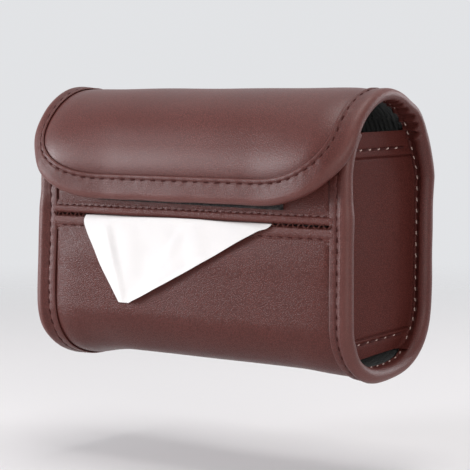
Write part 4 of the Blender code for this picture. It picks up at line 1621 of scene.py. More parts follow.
    def closed_ends(self, ends: Sequence[float]) -> None:
        """Short zigzag stitches that close the slot beside the tissue.

        Args:
            ends: the left and the right end of the slot.
        """
        middle = (self.slot_top + self.slot_bottom) / 2
        pitch, share = 0.0030, np.linspace(-1, 1, 9)
        rise = np.array([-0.5, 0.1, 0.6, 0.9, 1.0, 0.9, 0.6, 0.1, -0.5]) * 0.0005
        for side, one, two in ((Side.LEFT, ends[0], self.slot_ends[0]),
                               (Side.RIGHT, self.slot_ends[1], ends[1])):
            count = int((two - one) / pitch)
            way = np.where(np.arange(count) % 2 == 0, 1.0, -1.0)[:, None]
            x = np.linspace(one + pitch / 2, two - pitch / 2, count)[:, None] + 0.0010 * share
            row = stitches(f"slot_end_stitches_{side.word}", self.surface.at, x,
                           middle + 0.0011 * share * way,
                           SIZES.binding_proud + 0.0003 + rise + 0 * x, 0.00042)
            dress(row, Body.POUCH, self.finishes.brown_thread, None)


def gathers(from_hinge: Array, inset: Array) -> Array:
    """Deep folds across the inner leg of the bound edge where the top turns over the back.

    Args:
        from_hinge: distance along the edge from the hinge, more than 0 on the flap.
        inset: distance from the edge.

    Returns:
        Height to add to the inner leg.
    """
    near = eased((from_hinge + 0.012) / 0.008) * (1 - eased((from_hinge - 0.030) / 0.014))
    wave = np.cos(2 * math.pi * from_hinge / 0.0074 + 1.3 * np.sin(from_hinge / 0.0049))
    return 0.0012 * near * (wave - 0.2) * eased(inset / 0.004)


def strip_wear(cut: FoldedStrip, line: EdgeLine) -> Array:
    """How much rubbing and painted highlight a strip has at each of its points: most on its outer
    roll and on the seam's folded edge.

    Args:
        cut: the strip's cross section.
        line: the line it follows.

    Returns:
        Values for the outer face's points and then the inner face's.
    """
    part = cut.section(line.border, line.inner_cut)
    # Painted highlight along the outer roll, which also stands for rubbing there
    roll_rub_and_highlight = bell(part["inset"] - 0.0018, 0.0022) * eased((part["out_height"] + 0.4) / 0.9)
    # Painted highlight on the seam's folded edge, where it catches the light
    seam_highlight = 0.6 * bell(line.border[:, None] - part["inset"], 0.0006) * (part["out_height"] > 0.9)
    face = np.clip(roll_rub_and_highlight + seam_highlight, 0, 1)
    return np.concatenate((face.ravel(), 0 * face.ravel()))


@dataclass
class Flap:
    """The flap: cover, board, lining, bound edge, hook strip and the fold at its back."""

    surface: FlapSurface
    pouch: Pouch
    finishes: Finishes
    fold_room: float = 0.0070
    pillow: float = 0.0010
    crest_pillow: float = 0.0003
    pillow_reach: float = 0.0034
    wave: float = 0.00030
    left_border: float = 0.0098

    def __post_init__(self) -> None:
        """Find the flap's edge line and the cross section of its bound edge."""
        self.line = self.edge_line().spaced(0.0009)
        self.cut = FoldedStrip(
            wall=SIZES.flap_wall, inner_border=SIZES.flap_side_border, seam_stitch=0.0026,
            inner_stitch=0.0092, roll=0.0007, rim=0.0005, inner_roll=0.0, pucker=0.00009,
        )

    def build(self) -> None:
        """Make every piece of the flap."""
        self.cover()
        self.layers()
        self.bound_edge()
        self.hook_strip()
        self.fold()

    def edge_line(self) -> EdgeLine:
        """The flap's outer line from the fold on the left round to the fold on the right."""
        power, wide, high = SIZES.corner_power, SIZES.corner_width, SIZES.corner_height
        corner = self.surface.end - high
        side = steps_between(self.fold_room, corner, 0.0005)[:-1]
        angle = np.linspace(0, math.pi / 2, 400)
        across, along = [turn.clip(0) ** (2 / power) for turn in (np.cos(angle), np.sin(angle))]
        out_x, out_s = across ** (power - 1) / wide, along ** (power - 1) / high
        size = np.hypot(out_x, out_s)
        drawn = SIZES.rear_draw * (1 - eased((side - self.fold_room) / 0.050))
        x = np.concatenate((SIZES.flap_half - drawn, SIZES.flap_half - wide * (1 - across)))
        length = np.concatenate((side, corner + high * along))
        out_x = np.concatenate((0 * side + 1, out_x / size))
        out_s = np.concatenate((0 * side, out_s / size))
        border = [plain + (SIZES.flap_front_border - plain) * out_s ** 2
                  for plain in (self.left_border, SIZES.flap_side_border)]

        def both(one: Array, sign: int) -> Array:
            """The left half's values from the fold, and the right half's back to it."""
            return np.concatenate((sign * one, one[::-1]))

        return EdgeLine(both(x, -1), both(length, 1), -both(out_x, -1), -both(out_s, 1),
                        np.concatenate((border[0], border[1][::-1])))

    def half_rows(self) -> tuple[Array, Array]:
        """Half widths and lengths of the flap's layers, row by row from the fold."""
        inset, line = SIZES.setback(SIZES.flap_wall), self.line
        right = line.x > 0
        x = (line.x + inset * line.inward_x)[right][::-1]
        length = (line.length + inset * line.inward_length)[right][::-1]
        rising = np.concatenate(([True], np.diff(length) > 1e-6))
        return x[rising], length[rising]

    def cover_height(self, x: Array, length: Array) -> Array:
        """Height of the cover, which swells inside its seam and has soft waves.

        Args:
            x: places across.
            length: places along.

        Returns:
            The cover's height above the plain surface.
        """
        gap = np.full(x.shape, 1.0)
        line = self.line
        for one, two, border in zip(line.x[::3], line.length[::3], line.border[::3]):
            gap = np.minimum(gap, np.hypot(x - one, length - two) - border)
        gap = np.clip(gap, 0.0, None)
        front = self.surface.front_share(length)
        amount = self.crest_pillow + (self.pillow - self.crest_pillow) * front
        away = eased((length - self.fold_room) / 0.012)
        swell = amount * (1 - np.exp(-gap / self.pillow_reach))
        return away * (swell + self.wave * Ripple(3, 0.085).at(x, length) * eased(gap / 0.03))

    def cover(self) -> None:
        """The outer leather."""
        half, length = self.half_rows()
        x = half[:, None] * np.linspace(-1, 1, 161)[None, :]
        length = length[:, None] + 0 * x
        piece = self.surface.layer("flap_cover_leather", x, length, self.cover_height(x, length),
                                   -SIZES.leather)
        dress(piece, Body.FLAP, self.finishes.flap, "outer_leather", ("flap_cover",))

    def layers(self) -> None:
        """The board and the ribbed lining."""
        half, rows = self.half_rows()
        keep = np.linspace(0, len(rows) - 1, 70).astype(int)
        half, rows = half[keep][:, None], rows[keep][:, None]
        board = SIZES.leather + SIZES.fit_gap
        x = half * np.linspace(-1, 1, 41)[None, :]
        piece = self.surface.layer("flap_board", x, rows, -board, -(board + SIZES.flap_board))
        dress(piece, Body.FLAP, self.finishes.board, "board", ("flap_stiffener",))
        depth = board + SIZES.flap_board + SIZES.fit_gap
        x = half * np.linspace(-1, 1, 391)[None, :]
        ribs = self.pouch.ribs(x) * eased((SIZES.flap_half - 0.012 - np.abs(x)) / 0.002)
        piece = self.surface.layer("flap_lining_cloth", x, rows, -depth,
                                   -depth - SIZES.lining - ribs)
        dress(piece, Body.FLAP, self.finishes.lining, "lining", ("flap_lining",))

    def back_folds(self, walk: Array, inset: Array) -> Array:
        """The gathers of the inner leg where the flap rounds the top."""
        return gathers(np.minimum(walk, self.line.walked[-1] - walk) + self.fold_room, inset)

    def bound_edge(self) -> None:
        """The folded strip round the flap with its stitches on both faces."""
        line, dark = self.line, Thread(pitch=0.0072, visible=0.0040, radius=0.00028)
        piece = line.strip("flap_binding_leather", self.surface, self.cut, dark.pitch,
                           self.back_folds)
        # Rubbing and painted highlight along the strip's roll and seam edge
        mark_worn(piece, strip_wear(self.cut, line))
        dress(piece, Body.FLAP, self.finishes.edge, "edge_leather", ("flap_binding",))
        for word, thread, outside, material in (
            ("stitches", dark, True, self.finishes.dark_thread),
            ("inner_stitches", Thread(pitch=0.0064, visible=0.0020, radius=0.00028), False,
             self.finishes.light_thread),
        ):
            thread.sew(f"flap_{word}", line.stitch_place(self.surface, self.cut, outside), 0.003,
                       line.walked[-1] - 0.003, Body.FLAP, material)

    def hook_strip(self) -> None:
        """The hook strip on the flap's inner face."""
        end = self.surface.end - SIZES.flap_front_border - 0.0008
        depth = SIZES.flap_wall + SIZES.fit_gap
        closure_tape("closure_hook_strip", self.surface, (-0.060, 0.060), (end - 0.016, end),
                     (-depth, -depth - SIZES.strip_thickness), Body.FLAP, self.finishes)

    def fold(self) -> None:
        """Leather, lining and edges across the fold, blended from the pouch's shape to the flap's.
        """
        room, low = self.fold_room, self.pouch.surface
        steps = np.linspace(0, 1, 61)
        keep_low = low.lengths > low.end - room - 0.001
        keep_high = self.surface.lengths < room + 0.001
        bridge = WallSurface(
            np.concatenate((low.points[keep_low], self.surface.points[keep_high])),
            np.concatenate((low.outward[keep_low], self.surface.outward[keep_high])),
        )
        start = low.end - room - float(low.lengths[keep_low][0])
        length = (start + 2 * room * steps)[:, None]
        share = eased(steps)[:, None]
        ends = [tuple(bridge.at(0.0, one, 0.0)) for one in (start, start + 2 * room)]

        def blend(one: float, two: float) -> Array:
            """A size that passes from the pouch's to the flap's."""
            return one * (1 - share) + two * share

        shift = self.surface.shift * share
        edge = SIZES.flap_half - SIZES.rear_draw
        half = edge - blend(SIZES.setback(SIZES.side_wall), SIZES.setback(SIZES.flap_wall))
        x = half * np.linspace(-1, 1, 121)[None, :] + shift
        pieces = [(bridge.layer("fold_leather", x, length, 0.0, -SIZES.leather),
                   self.finishes.panel, "outer_leather")]
        top = blend(SIZES.board_inner + SIZES.fit_gap,
                    SIZES.leather + 2 * SIZES.fit_gap + SIZES.flap_board)
        rear = self.pouch.place_at(self.pouch.fold)[0]
        narrow = SIZES.lining_half + float(self.pouch.plate_shift(rear))
        wide = edge - SIZES.setback(SIZES.flap_wall)
        half = narrow + (wide - narrow) * eased(4 * steps)[:, None]
        x = half * np.linspace(-1, 1, 391)[None, :] + shift
        ribs = self.pouch.ribs(x) * eased((half - 0.001 - np.abs(x - shift)) / 0.002)
        pieces.append((bridge.layer("fold_lining", x, length, -top, -top - SIZES.lining - ribs),
                       self.finishes.lining, "lining"))
        for side in Side:
            pieces += self.fold_edge(side, bridge, edge, length, share)
        for piece, material, slot in pieces:
            dress(piece, None, material, slot)
            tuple(ends[0])
            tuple(ends[1])
            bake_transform(piece)

    def fold_edge(self, side: Side, bridge: WallSurface, edge: float, length: Array,
                  share: Array) -> list[tuple[Piece, Material, Optional[str]]]:
        """The bound edge across the fold, which passes from the pouch's shape to the flap's.

        Args:
            side: the end of the holder.
            bridge: the surface across the fold.
            edge: the end line's distance from the middle.
            length: places along it.
            share: how far each place is from the pouch to the flap.

        Returns:
            The strip and its inner stitches, each with its material and slot.
        """
        line, low_cut = self.pouch.edge_line(side), self.pouch.cuts[side]
        own = self.left_border if side is Side.LEFT else SIZES.flap_side_border
        parts = [low_cut.section(line.border[-1], line.inner_cut[-1]), self.cut.section(own)]
        mixed = {key: parts[0][key] * (1 - share) + parts[1][key] * share for key in parts[0]}
        from_hinge = length - (length[0] + length[-1]) / 2
        rise = mixed["extra"] + inner_share(mixed) * gathers(from_hinge, mixed["inset"])
        strip = strip_shell(f"fold_edge_{side.word}", mixed, rise, lambda inset, height: bridge.at(
            side.value * (edge - inset) + self.surface.shift * share, length + 0 * inset, height))
        ends = ((low_cut.inner_stitch - line.inner_cut[-1], self.cut.inner_stitch),
                (low_cut.wall, self.cut.wall))

        def place(along: Array, beside: Array, above: Array) -> Array:
            """The point at a place along, beside and above the inner row of stitches."""
            here = np.interp(along, length[:, 0], share[:, 0])
            inset, wall = [one * (1 - here) + two * here for one, two in ends]
            level = -wall - SIZES.binding_proud + 0.7 * self.cut.groove - above
            return bridge.at(side.value * (edge - (inset + beside)) + self.surface.shift * here,
                             along, level)

        row = Thread(pitch=0.0062, visible=0.0022, radius=0.00029).row(
            f"fold_edge_{side.word}_stitches", place, float(length[0, 0]), float(length[-1, 0]))
        return [(strip, self.finishes.edge, "edge_leather"),
                (row, self.finishes.light_thread, None)]


def closure_tape(node: str, surface: WallSurface, ends: tuple[float, float],
                 span: tuple[float, float], heights: tuple[float, float], body: Body,
                 finishes: Finishes, shadow_slant: float = 0.0) -> None:
    """A strip of hook or loop tape with a napped face.

    Args:
        node: the node it stands for.
        surface: the wall it is sewn to.
        ends: its left and right end across the holder.
        span: where it starts and ends along the wall.
        heights: its face towards the wall's outside and its other face.
        body: the body it rides on; the pouch's tape has its nap outside, the flap's inside.
        finishes: the materials.
        shadow_slant: how much further down its right end lies.
    """
    x = steps_between(*ends, 0.0006)[None, :]
    length = steps_between(*span, 0.0006)[:, None]
    nap = 0.00030 * np.random.default_rng(7).random((length.shape[0], x.shape[1]))
    across = np.minimum(x - ends[0], ends[1] - x)
    nap = nap * eased(np.minimum(across, np.minimum(length - span[0], span[1] - length)) / 0.002)
    # The slant lays the tape's lower edge along the shadow under the flap's edge, so the black
    # tape partly stands where there is only shade
    length = length + shadow_slant * (x - ends[0]) / (ends[1] - ends[0])
    outside = body is Body.POUCH
    piece = surface.layer(f"{node}_tape", x, length, heights[0] - (nap if outside else 0.0),
                          heights[1] + (0.0 if outside else nap), sharp=180.0)
    dress(piece, body, finishes.closure, "closure", (node,))


@dataclass
class Tissues:
    """The soft pack of tissues and the sheet that hangs out of the slot.

    The arch gives how far the sheet's top rises over the lip at places across.
    """

    finishes: Finishes
    pouch: Pouch
    pack_end_room: float = 0.0019
    pack_side_room: float = 0.0088
    pack_drop: float = 0.0324
    pack_floor: float = -0.0636
    pack_power: float = 7.0
    pack_crown: float = 0.035
    pack_crease: float = 0.0011
    left: float = -0.0683
    right: float = 0.0590
    drop: float = 0.0476
    tip_left: float = -0.0430
    tip_right: float = -0.0352
    inside_half: float = 0.0400
    bend: float = 0.0022
    thickness: float = 0.0003
    wave: float = 0.0006
    left_power: float = 1.28
    right_power: float = 1.05
    tail: float = 0.0060
    arch: tuple[tuple[float, float], ...] = (
        (-0.070, -0.0012), (-0.045, 0.0002), (-0.025, 0.0012), (-0.005, 0.0017), (0.013, 0.0017),
        (0.026, 0.0011), (0.037, 0.0004), (0.050, -0.0005), (0.060, -0.0019))

    def build(self) -> None:
        """Make the pack and the sheet."""
        self.pack()
        self.sheet()

    def pack(self) -> None:
        """A film pack, crowned and crinkled, with pressed ends."""
        half = np.array([SIZES.inside_half - self.pack_end_room,
                         SIZES.body_depth / 2 - SIZES.pouch_wall - self.pack_side_room,
                         (SIZES.height_below_top(self.pack_drop) - self.pack_floor) / 2])
        middle = np.array([0.0, SIZES.middle_y, self.pack_floor + half[2]])
        builder = bmesh.new()
        bmesh.ops.create_cube(builder, size=2.0)
        bmesh.ops.subdivide_edges(builder, edges=builder.edges, cuts=47, use_grid_fill=True)
        points = np.array([vert.co[:] for vert in builder.verts])
        builder.verts.ensure_lookup_table()
        faces = [[vert.index for vert in face.verts] for face in builder.faces]
        builder.free()
        size = (np.abs(points) ** self.pack_power).sum(1) ** (1 / self.pack_power)
        unit = points / size[:, None]
        crown = 1 - self.pack_crown * (unit[:, [0]] ** 2) * np.array([[0.0, 1.0, 1.0]])
        placed = unit * half * crown
        crease = (np.abs(Ripple(21, 0.030).at(placed[:, 0] + placed[:, 1], placed[:, 2])) ** 0.6
                  + 0.5 * np.abs(Ripple(22, 0.012).at(placed[:, 0], placed[:, 1] + placed[:, 2])))
        inward = unit / np.linalg.norm(unit, axis=1, keepdims=True)
        placed = placed - inward * (self.pack_crease * np.clip(1.5 - crease, 0, 1.5))[:, None]
        piece = mesh_piece("tissue_pack_film", placed + middle, faces, sharp=180.0)
        dress(piece, Body.POUCH, self.finishes.film, "pack_film", ("tissue_pack",))

    def sheet_rows(self, slot: float, pack_front: float, lip: float) -> list[tuple[float, ...]]:
        """Rows of the sheet: from the pack to the slot, over its lip, and down to a point.

        Args:
            slot: the slot's height.
            pack_front: the y of the pack's front.
            lip: the y of the slot's outer lip.

        Returns:
            For each row its left and right end, y, z and share of the way down.
        """
        start_right = self.right - self.tail
        rows = []
        for share in np.linspace(0, 1, 13):
            rows.append((-self.inside_half + (self.left + self.inside_half) * share,
                         self.inside_half + (self.right - self.inside_half) * share,
                         pack_front + (lip - pack_front) * share, slot, 0.0))
        for angle in np.linspace(0, math.pi / 2, 9)[1:]:
            rows.append((self.left, start_right + self.tail * math.cos(angle),
                         lip - self.bend * math.sin(angle),
                         slot - self.bend * (1 - math.cos(angle)), 0.0))
        for share in np.linspace(0, 1, 71)[1:]:
            rows.append((self.left + (self.tip_left - self.left) * share ** self.left_power,
                         start_right + (self.tip_right - start_right) * share ** self.right_power,
                         lip - self.bend,
                         slot - self.bend - (self.drop - self.bend) * share, share))
        return rows

    def sheet(self) -> None:
        """The sheet that hangs from the pack through the slot, with its folds and creases."""
        slot = SIZES.height_below_top(SIZES.slot_drop)
        pack_front = -(SIZES.body_depth - SIZES.pouch_wall - self.pack_side_room) - 0.0006
        lip = -SIZES.body_depth - SIZES.binding_proud - SIZES.fit_gap
        rows = self.sheet_rows(slot, pack_front, lip)
        left, right, y, z, down = [np.array(one)[:, None] for one in zip(*rows)]
        across = np.linspace(0, 1, 141)[None, :]
        x = left + (right - left) * across
        swell = 4 * down * (1 - down)
        fold = self.wave * swell * np.sin(3 * math.pi * across)
        crease = 0.0012 * eased(down / 0.25) * (
            bell(x + 0.052 - 0.012 * down, 0.0030)
            - 0.6 * bell(x + 0.030 - 0.030 * (1 - down), 0.0045)
            + 0.7 * bell(x - 0.004 + 0.036 * down, 0.0042))
        ripple = 0.00025 * Ripple(31, 0.022).at(x, z) * eased(down / 0.1)
        flare = 0.0014 * down * eased(1 - (1 - across) / 0.12)
        y = y - fold - crease * (1 - 0.4 * down) - ripple - flare
        off_lip = eased((lip - y) / self.bend) * (1 - eased(down / 0.35))
        z = z + off_lip * np.interp(x, *zip(*self.arch))
        half, turn = self.thickness / 2, eased(down * 40) * math.pi / 2
        out = np.stack((0 * x, -np.sin(turn) + 0 * x, np.cos(turn) + 0 * x), -1)
        middle = np.stack((x, y, z), -1)
        piece = shell("tissue_sheet_paper", middle + half * out, middle - half * out)
        dress(piece, Body.POUCH, self.finishes.tissue, "tissue", ("tissue_sheet",))


@dataclass
class HangingStraps:
    """The two straps at the back with their sewn ends and press fasteners."""

    finishes: Finishes
    pouch: Pouch
    spacing: float = 0.110
    width: float = 0.025
    thickness: float = 0.0024
    ramp: float = 0.0140
    dip_above_snap: float = 0.0160
    end_below_snap: float = 0.0100
    dip: float = 0.0080
    corner: float = 0.0070
    anchor_length: float = 0.0180
    anchor_thickness: float = 0.0012
    snap_rise: float = 0.0024
    stitch_inset: float = 0.0026
    bridge: float = 0.0030

    def __post_init__(self) -> None:
        """Work out the snap's stack of heights behind the back."""
        gap = SIZES.fit_gap
        self.fold_y = gap + self.thickness / 2
        self.stud_base = gap + 0.0008
        self.stud_top = self.stud_base + 0.0025
        self.socket_rim = self.stud_base + gap
        self.socket_back = self.socket_rim + 0.0036
        self.strap_inner = self.socket_back + gap
        self.cap_base = self.strap_inner + self.thickness + gap
        self.snap_height = SIZES.bottom_foot + self.snap_rise
        self.hinge_height = SIZES.height_below_top(SIZES.strap_fold_drop)

    def build(self) -> None:
        """Make both straps."""
        for side, body in ((Side.LEFT, Body.STRAP_LEFT), (Side.RIGHT, Body.STRAP_RIGHT)):
            x = side.value * self.spacing / 2
            self.strap(side, body, x)
            self.anchor(side, body, x)
            self.snap(side, body, x)

    def line(self) -> tuple[Array, Array, Array]:
        """The strap's middle line from its fold to its end: y, z and half width."""
        snapped = self.strap_inner + self.thickness / 2
        free = self.cap_base + 0.0004 + 0.0015 + SIZES.fit_gap - self.thickness / 2
        top = self.hinge_height
        dip = self.snap_height + self.dip_above_snap
        end = self.snap_height - self.end_below_snap
        z = np.concatenate((
            np.linspace(top, top - self.ramp, 25), np.linspace(top - self.ramp, dip, 15)[1:],
            np.linspace(dip, dip - self.dip, 17)[1:],
            np.linspace(dip - self.dip, end + self.corner, 9)[1:],
            end + self.corner * (1 - np.sin(np.linspace(0, math.pi / 2, 17)))[1:],
        ))
        y = self.fold_y + (free - self.fold_y) * eased((top - z) / self.ramp)
        y = y + (snapped - free) * eased((dip - z) / self.dip)
        near = np.clip((end + self.corner - z) / self.corner, 0, 1)
        half = self.width / 2 - self.corner * (1 - np.sqrt(1 - near ** 2))
        return y, z, half

    @staticmethod
    def shares(edge: float, inner: float, count: int) -> Array:
        """Places across from -1 to 1, closer together from the edge share outward."""
        return np.concatenate((np.linspace(-1, -edge, count), np.linspace(-inner, inner, 23),
                               np.linspace(edge, 1, count)))[None, :]

    def strap(self, side: Side, body: Body, x: float) -> None:
        """One strap of doubled leather with rounded edges and a row of stitches on each.

        Args:
            side: the strap's side.
            body: the body it rides on.
            x: its place across.
        """
        name = f"strap_{side.word}"
        y, z, half = [one[:, None] for one in self.line()]
        across = half * self.shares(0.88, 0.86, 7)
        edge = near_edge(half - np.abs(across), 0.0011)
        thick = self.thickness / 2 * np.sqrt(1 - 0.85 * edge ** 2)
        thick = thick - 0.0002 * bell(half - np.abs(across) - self.stitch_inset, 0.0006)
        slope_y, slope_z = np.gradient(y[:, 0]), np.gradient(z[:, 0])
        size = np.hypot(slope_y, slope_z)
        out_y, out_z = (-slope_z / size)[:, None], (slope_y / size)[:, None]
        piece = shell(f"{name}_leather", *[
            np.stack((x + across, y + sign * thick * out_y, z + sign * thick * out_z), -1)
            for sign in (1, -1)])
        # Lighter strap edges: rubbing together with a painted highlight
        mark_worn(piece, np.tile((edge ** 2 * 0.9 + 0 * y).ravel(), 2))
        dress(piece, body, self.finishes.edge, "edge_leather", (name,))
        walked = np.concatenate(([0.0], np.cumsum(np.hypot(np.diff(y[:, 0]), np.diff(z[:, 0])))))
        for word, sign in (("a", -1), ("b", 1)):
            def place(along: Array, beside: Array, above: Array) -> Array:
                """The point at a place along, beside and above the strap's row."""
                here = [np.interp(along, walked, one[:, 0]) for one in (y, z, half, out_y, out_z)]
                lift = self.thickness / 2 - 0.00015 + above
                out_x = x + sign * (here[2] - self.stitch_inset) + beside
                return np.stack((out_x, here[0] + lift * here[3], here[1] + lift * here[4]), -1)

            Thread(pitch=0.0044, visible=0.0029, radius=0.00028).sew(
                f"{name}_stitches_{word}", place, 0.003, walked[-1] - 0.006, body,
                self.finishes.dark_thread)

    def anchor(self, side: Side, body: Body, x: float) -> None:
        """The strap's sewn end on the back, and the short fold that joins the strap to it.

        Args:
            side: the strap's side.
            body: the strap's body.
            x: its place across.
        """
        swing = math.radians(30)
        low = self.hinge_height + self.thickness / 2 / math.cos(swing) + SIZES.fit_gap
        start = self.pouch.surface.length_at(low, False)
        length = steps_between(start, start + self.anchor_length, 0.0006)[:, None]
        across = self.width / 2 * self.shares(0.9, 0.88, 5)
        gap = np.minimum(self.width / 2 - np.abs(across), start + self.anchor_length - length)
        edge = near_edge(gap, 0.0008)
        top = SIZES.fit_gap + self.anchor_thickness * (0.35 + 0.65 * np.sqrt(1 - edge ** 2))
        top = top - 0.00025 * bell(gap - 0.0030, 0.0006)
        name = f"strap_anchor_{side.word}"
        piece = self.pouch.surface.layer(f"{name}_leather", x + across, length, top,
                                         SIZES.fit_gap * 0.2)
        # Lighter edges of the sewn end: rubbing together with a painted highlight
        mark_worn(piece, np.tile((edge ** 2 * 0.8).ravel(), 2))
        dress(piece, Body.POUCH, self.finishes.edge, "edge_leather", (name,))
        self.box_stitch(name, x, start)
        self.strap_fold(side, body, x, low)

    def box_stitch(self, name: str, x: float, start: float) -> None:
        """A rectangle of stitches with a cross in it, through the sewn end.

        Args:
            name: the sewn end's name.
            x: its place across.
            start: where it starts along the back.
        """
        right = self.width / 2 - 0.0032
        low, high = start + 0.0030, start + self.anchor_length - 0.0030
        corners = [(-right, low), (right, low), (right, high), (-right, high), (-right, low),
                   (right, high)]
        level = SIZES.fit_gap + self.anchor_thickness - 0.0001
        for number, (one, two) in enumerate(zip(corners, corners[1:])):
            run = math.dist(one, two)
            way = (np.array(two) - np.array(one)) / run

            def place(along: Array, beside: Array, above: Array) -> Array:
                """The point at a place along, beside and above this run of stitches."""
                return self.pouch.surface.at(x + one[0] + along * way[0] - beside * way[1],
                                             one[1] + along * way[1] + beside * way[0],
                                             level + above)

            Thread(pitch=0.0032, visible=0.0022, radius=0.00028).sew(
                f"{name}_stitches_{number}", place, 0.0, run, Body.POUCH,
                self.finishes.dark_thread)

    def strap_fold(self, side: Side, body: Body, x: float, low: float) -> None:
        """The limp bit between the sewn end and the strap.

        Args:
            side: the strap's side.
            body: the strap's body.
            x: its place across.
            low: height of the sewn end's lower edge.
        """
        gap, top, end = SIZES.fit_gap, low + 0.0004, self.hinge_height - self.bridge
        z = np.linspace(top, end, 25)[:, None]
        share = eased((top - z) / (top - self.hinge_height))
        outer = gap + self.anchor_thickness + (self.thickness - self.anchor_thickness) * share
        strap_y, strap_z = self.line()[:2]
        order = np.argsort(strap_z)
        ramp = np.clip(np.interp(z, strap_z[order], strap_y[order]) - self.fold_y, 0, None)
        half = self.width / 2 + 0.0002
        across = (half * np.linspace(-1, 1, 31))[None, :]
        edge = near_edge(half - np.abs(across), 0.0010)
        squeeze = 0.5 * (outer - gap) * (1 - np.sqrt(1 - 0.85 * edge ** 2))
        piece = shell(f"strap_fold_{side.word}_leather", *[
            np.stack((x + across + 0 * z, y, z + 0 * across), -1)
            for y in (outer + ramp + 0.0001 - squeeze, gap + ramp - 0.0001 + squeeze)])
        dress(piece, None, self.finishes.edge, "edge_leather")
        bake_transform(piece)

    def snap(self, side: Side, body: Body, x: float) -> None:
        """Post, stud, socket and cap, turned with rounded rims.

        Args:
            side: the strap's side.
            body: the strap's body.
            x: its place across.
        """
        gap, base, top = SIZES.fit_gap, self.stud_base, self.stud_top
        rim, back, cap = self.socket_rim, self.socket_back, self.cap_base
        inner = -SIZES.pouch_wall - gap
        tip = top - 0.0005 - gap
        dome = [(0.0062 * math.sin(angle), cap + 0.0004 + 0.0015 * math.cos(angle))
                for angle in np.linspace(0, math.pi / 2, 19)]
        for word, rides, outline in (
            ("snap_post", Body.POUCH, (
                (0.0, tip), (0.0012, tip), (0.0015, tip - 0.0003), (0.0015, inner),
                (0.0048, inner), (0.0050, inner - 0.0002), (0.0050, inner - 0.0005),
                (0.0046, inner - 0.0008), (0.0, inner - 0.0008))),
            ("snap_stud", Body.POUCH, (
                (0.0, top), (0.0018, top), (0.0024, top - 0.0002), (0.0026, top - 0.0006),
                (0.0023, top - 0.0013), (0.0023, base + 0.0003), (0.0027, base),
                (0.0049, base), (0.0052, base - 0.0003), (0.0052, gap), (0.0018, gap),
                (0.0018, top - 0.0005), (0.0, top - 0.0005))),
            ("snap_socket", body, (
                (0.0018, back), (0.0055, back), (0.0059, back - 0.0004), (0.0059, rim + 0.0005),
                (0.0056, rim + 0.0001), (0.0052, rim), (0.0044, rim + 0.0004), (0.0036, rim),
                (0.0031, rim + 0.0003), (0.0031, back - 0.0007), (0.0018, back - 0.0007))),
            ("snap_cap", body, (
                *dome, (0.0062, cap), (0.0015, cap), (0.0015, back - 0.0007),
                (0.0, back - 0.0007))),
        ):
            piece = self.turned(f"{word}_{side.word}_metal", outline, x)
            dress(piece, rides, self.finishes.metal, "snap_metal", (f"{word}_{side.word}",))

    def turned(self, name: str, outline: Sequence[tuple[float, float]],
               x: float) -> Piece:
        """A turned metal piece.

        Args:
            name: the piece's name.
            outline: (radius, distance behind the back) points.
            x: the snap's place across.

        Returns:
            The new piece.
        """
        turns = 48
        angle = np.linspace(0, 2 * math.pi, turns + 1)[:-1]
        points, rings = [], []
        for radius, along in outline:
            around = angle if radius > 0.0 else [0.0]
            first = len(points)
            rings.append([first + step % len(around) for step in range(turns)])
            points += [(x + radius * math.cos(one), along, self.snap_height
                        + radius * math.sin(one)) for one in around]
        if outline[0][0] > 0.0:
            rings.append(rings[0])
        faces = []
        for ring, following in zip(rings, rings[1:]):
            for step in range(turns):
                other = (step + 1) % turns
                corners = [ring[step], ring[other], following[other], following[step]]
                faces.append(list(dict.fromkeys(corners)))
        return mesh_piece(name, np.array(points), faces, sharp=35.0)


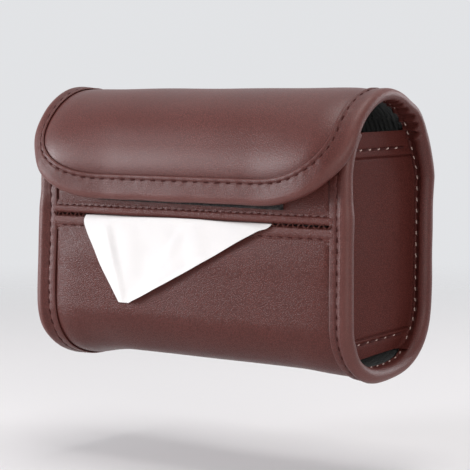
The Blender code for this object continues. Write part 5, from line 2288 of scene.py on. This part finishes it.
@dataclass(frozen=True)
class Studio:
    """Pale floor and backdrop, soft lamps, and the camera at the photograph's angle."""

    floor_height: float = -0.135
    span: float = 1.6
    fade: tuple[float, float] = (0.35, 1.2)
    ambient: float = 0.26
    pixels: float = 470.0
    focal_pixels: float = 1657.6
    sensor: float = 36.0
    eye: tuple[float, float, float] = (0.54907, -0.79219, 0.06939)
    look: tuple[float, float, float] = (-0.58589, 0.80641, -0.08020)

    def build(self) -> None:
        """Make the whole studio."""
        self.backdrop()
        self.world()
        self.lamps()
        self.camera()
        bpy.context.scene.view_settings.view_transform = "Standard"

    def backdrop(self) -> None:
        """A round floor that fades out with distance into the pale ground behind it."""
        points = [(self.span * math.cos(angle), self.span * math.sin(angle), self.floor_height)
                  for angle in np.linspace(0, 2 * math.pi, 97)[:-1]]
        mesh = bpy.data.meshes.new("floor")
        mesh.from_pydata(points, [], [tuple(range(len(points)))])
        floor = bpy.data.objects.new("floor", mesh)
        bpy.context.scene.collection.objects.link(floor)
        nodes = NewMaterial("pale floor")
        cloud = nodes.noise(nodes.spot, 3.0, 2.0)
        nodes.fill(nodes.shader, {"Roughness": 0.9, "Base Color": nodes.mix(
            cloud, (0.80, 0.81, 0.83), (0.83, 0.84, 0.855))})
        distance = nodes.add("VectorMath", {0: nodes.spot}, operation="LENGTH").outputs["Value"]
        mixed = nodes.add("MixShader", {0: nodes.ramp(distance, *self.fade),
                                        1: nodes.shader.outputs[0],
                                        2: nodes.add("BsdfTransparent").outputs[0]})
        nodes.fill(nodes.tree.nodes["Material Output"], {0: mixed.outputs[0]})
        mesh.materials.append(nodes.made)

    def world(self) -> None:
        """Soft light from all round, and a pale ground behind the object."""
        world = bpy.data.worlds.new("studio")
        bpy.context.scene.world = world
        world.use_nodes = True
        nodes = Nodes(world.node_tree)
        light = nodes.fill(nodes.tree.nodes["Background"],
                           {"Color": (1.0, 0.97, 0.95, 1.0), "Strength": self.ambient})
        seen = nodes.add("Background", {"Color": (0.80, 0.81, 0.83, 1.0), "Strength": 0.95})
        path = nodes.add("LightPath").outputs
        mirrored = nodes.math("MAXIMUM", path["Is Glossy Ray"], path["Is Transmission Ray"])
        pale = nodes.math("MAXIMUM", path["Is Camera Ray"], mirrored)
        mixed = nodes.add("MixShader", {0: pale, 1: light.outputs[0], 2: seen.outputs[0]})
        nodes.fill(nodes.tree.nodes["World Output"], {0: mixed.outputs[0]})

    def lamps(self) -> None:
        """A soft key at the upper left front, a low strip further left, and weak fills."""
        for name, place, size, power, tint in (
            ("key", (-0.90, -0.93, 0.36), (0.46, 0.46), 7.4, (1.0, 0.96, 0.98)),
            ("strip", (-1.19, -0.66, 0.07), (0.18, 0.50), 7.8, (0.97, 0.96, 1.0)),
            ("side", (1.10, -0.66, 0.28), (0.60, 0.60), 5.2, (1.0, 0.94, 0.91)),
            ("top", (0.10, -0.05, 1.30), (0.80, 0.80), 9.5, (1.0, 0.96, 0.94)),
            ("back", (0.62, 1.20, 0.42), (0.70, 0.70), 7.5, (0.98, 0.97, 1.0)),
        ):
            data = bpy.data.lights.new(name, "AREA")
            data.shape = "RECTANGLE"
            data.size, data.size_y = size
            data.energy = power
            data.color = tint
            lamp = bpy.data.objects.new(name, data)
            bpy.context.scene.collection.objects.link(lamp)
            lamp.location = place
            aim = Vector((0.0, SIZES.middle_y, 0.0)) - Vector(place)
            lamp.rotation_euler = aim.to_track_quat("-Z", "Y").to_euler()

    def camera(self) -> None:
        """The camera, where it fits the photograph's outline."""
        data = bpy.data.cameras.new("camera")
        data.sensor_width = self.sensor
        data.lens = self.sensor * self.focal_pixels / self.pixels
        data.clip_start = 0.05
        eye = bpy.data.objects.new("camera", data)
        bpy.context.scene.collection.objects.link(eye)
        eye.location = self.eye
        eye.rotation_euler = Vector(self.look).to_track_quat("-Z", "Y").to_euler()
        bpy.context.scene.camera = eye


def main() -> None:
    """Build the holder piece by piece, then the studio."""
    logging.basicConfig(level=logging.INFO, format="%(message)s")
    Studio().build()
    finishes = Finishes()
    pouch = Pouch(pouch_surface(), finishes)
    pouch.build()
    loop_low = pouch.surface.length_at(SIZES.height_below_top(SIZES.loop_strip_drop), True)
    loop_low = loop_low - SIZES.loop_strip_lift
    # Loop tape on the front: a real tape whose slant and lift make its black edge follow the
    # flap's shadow, so it is partly a dark strip put where there is only shade
    closure_tape("closure_loop_strip", pouch.surface, (-0.0590, 0.0660),
                 (loop_low - 0.030, loop_low),
                 (SIZES.fit_gap + SIZES.strip_thickness, SIZES.fit_gap), Body.POUCH, finishes,
                 shadow_slant=0.0014)
    Flap(flap_surface(), pouch, finishes).build()
    Tissues(finishes, pouch).build()
    HangingStraps(finishes, pouch).build()


if __name__ == "__main__":
    main()
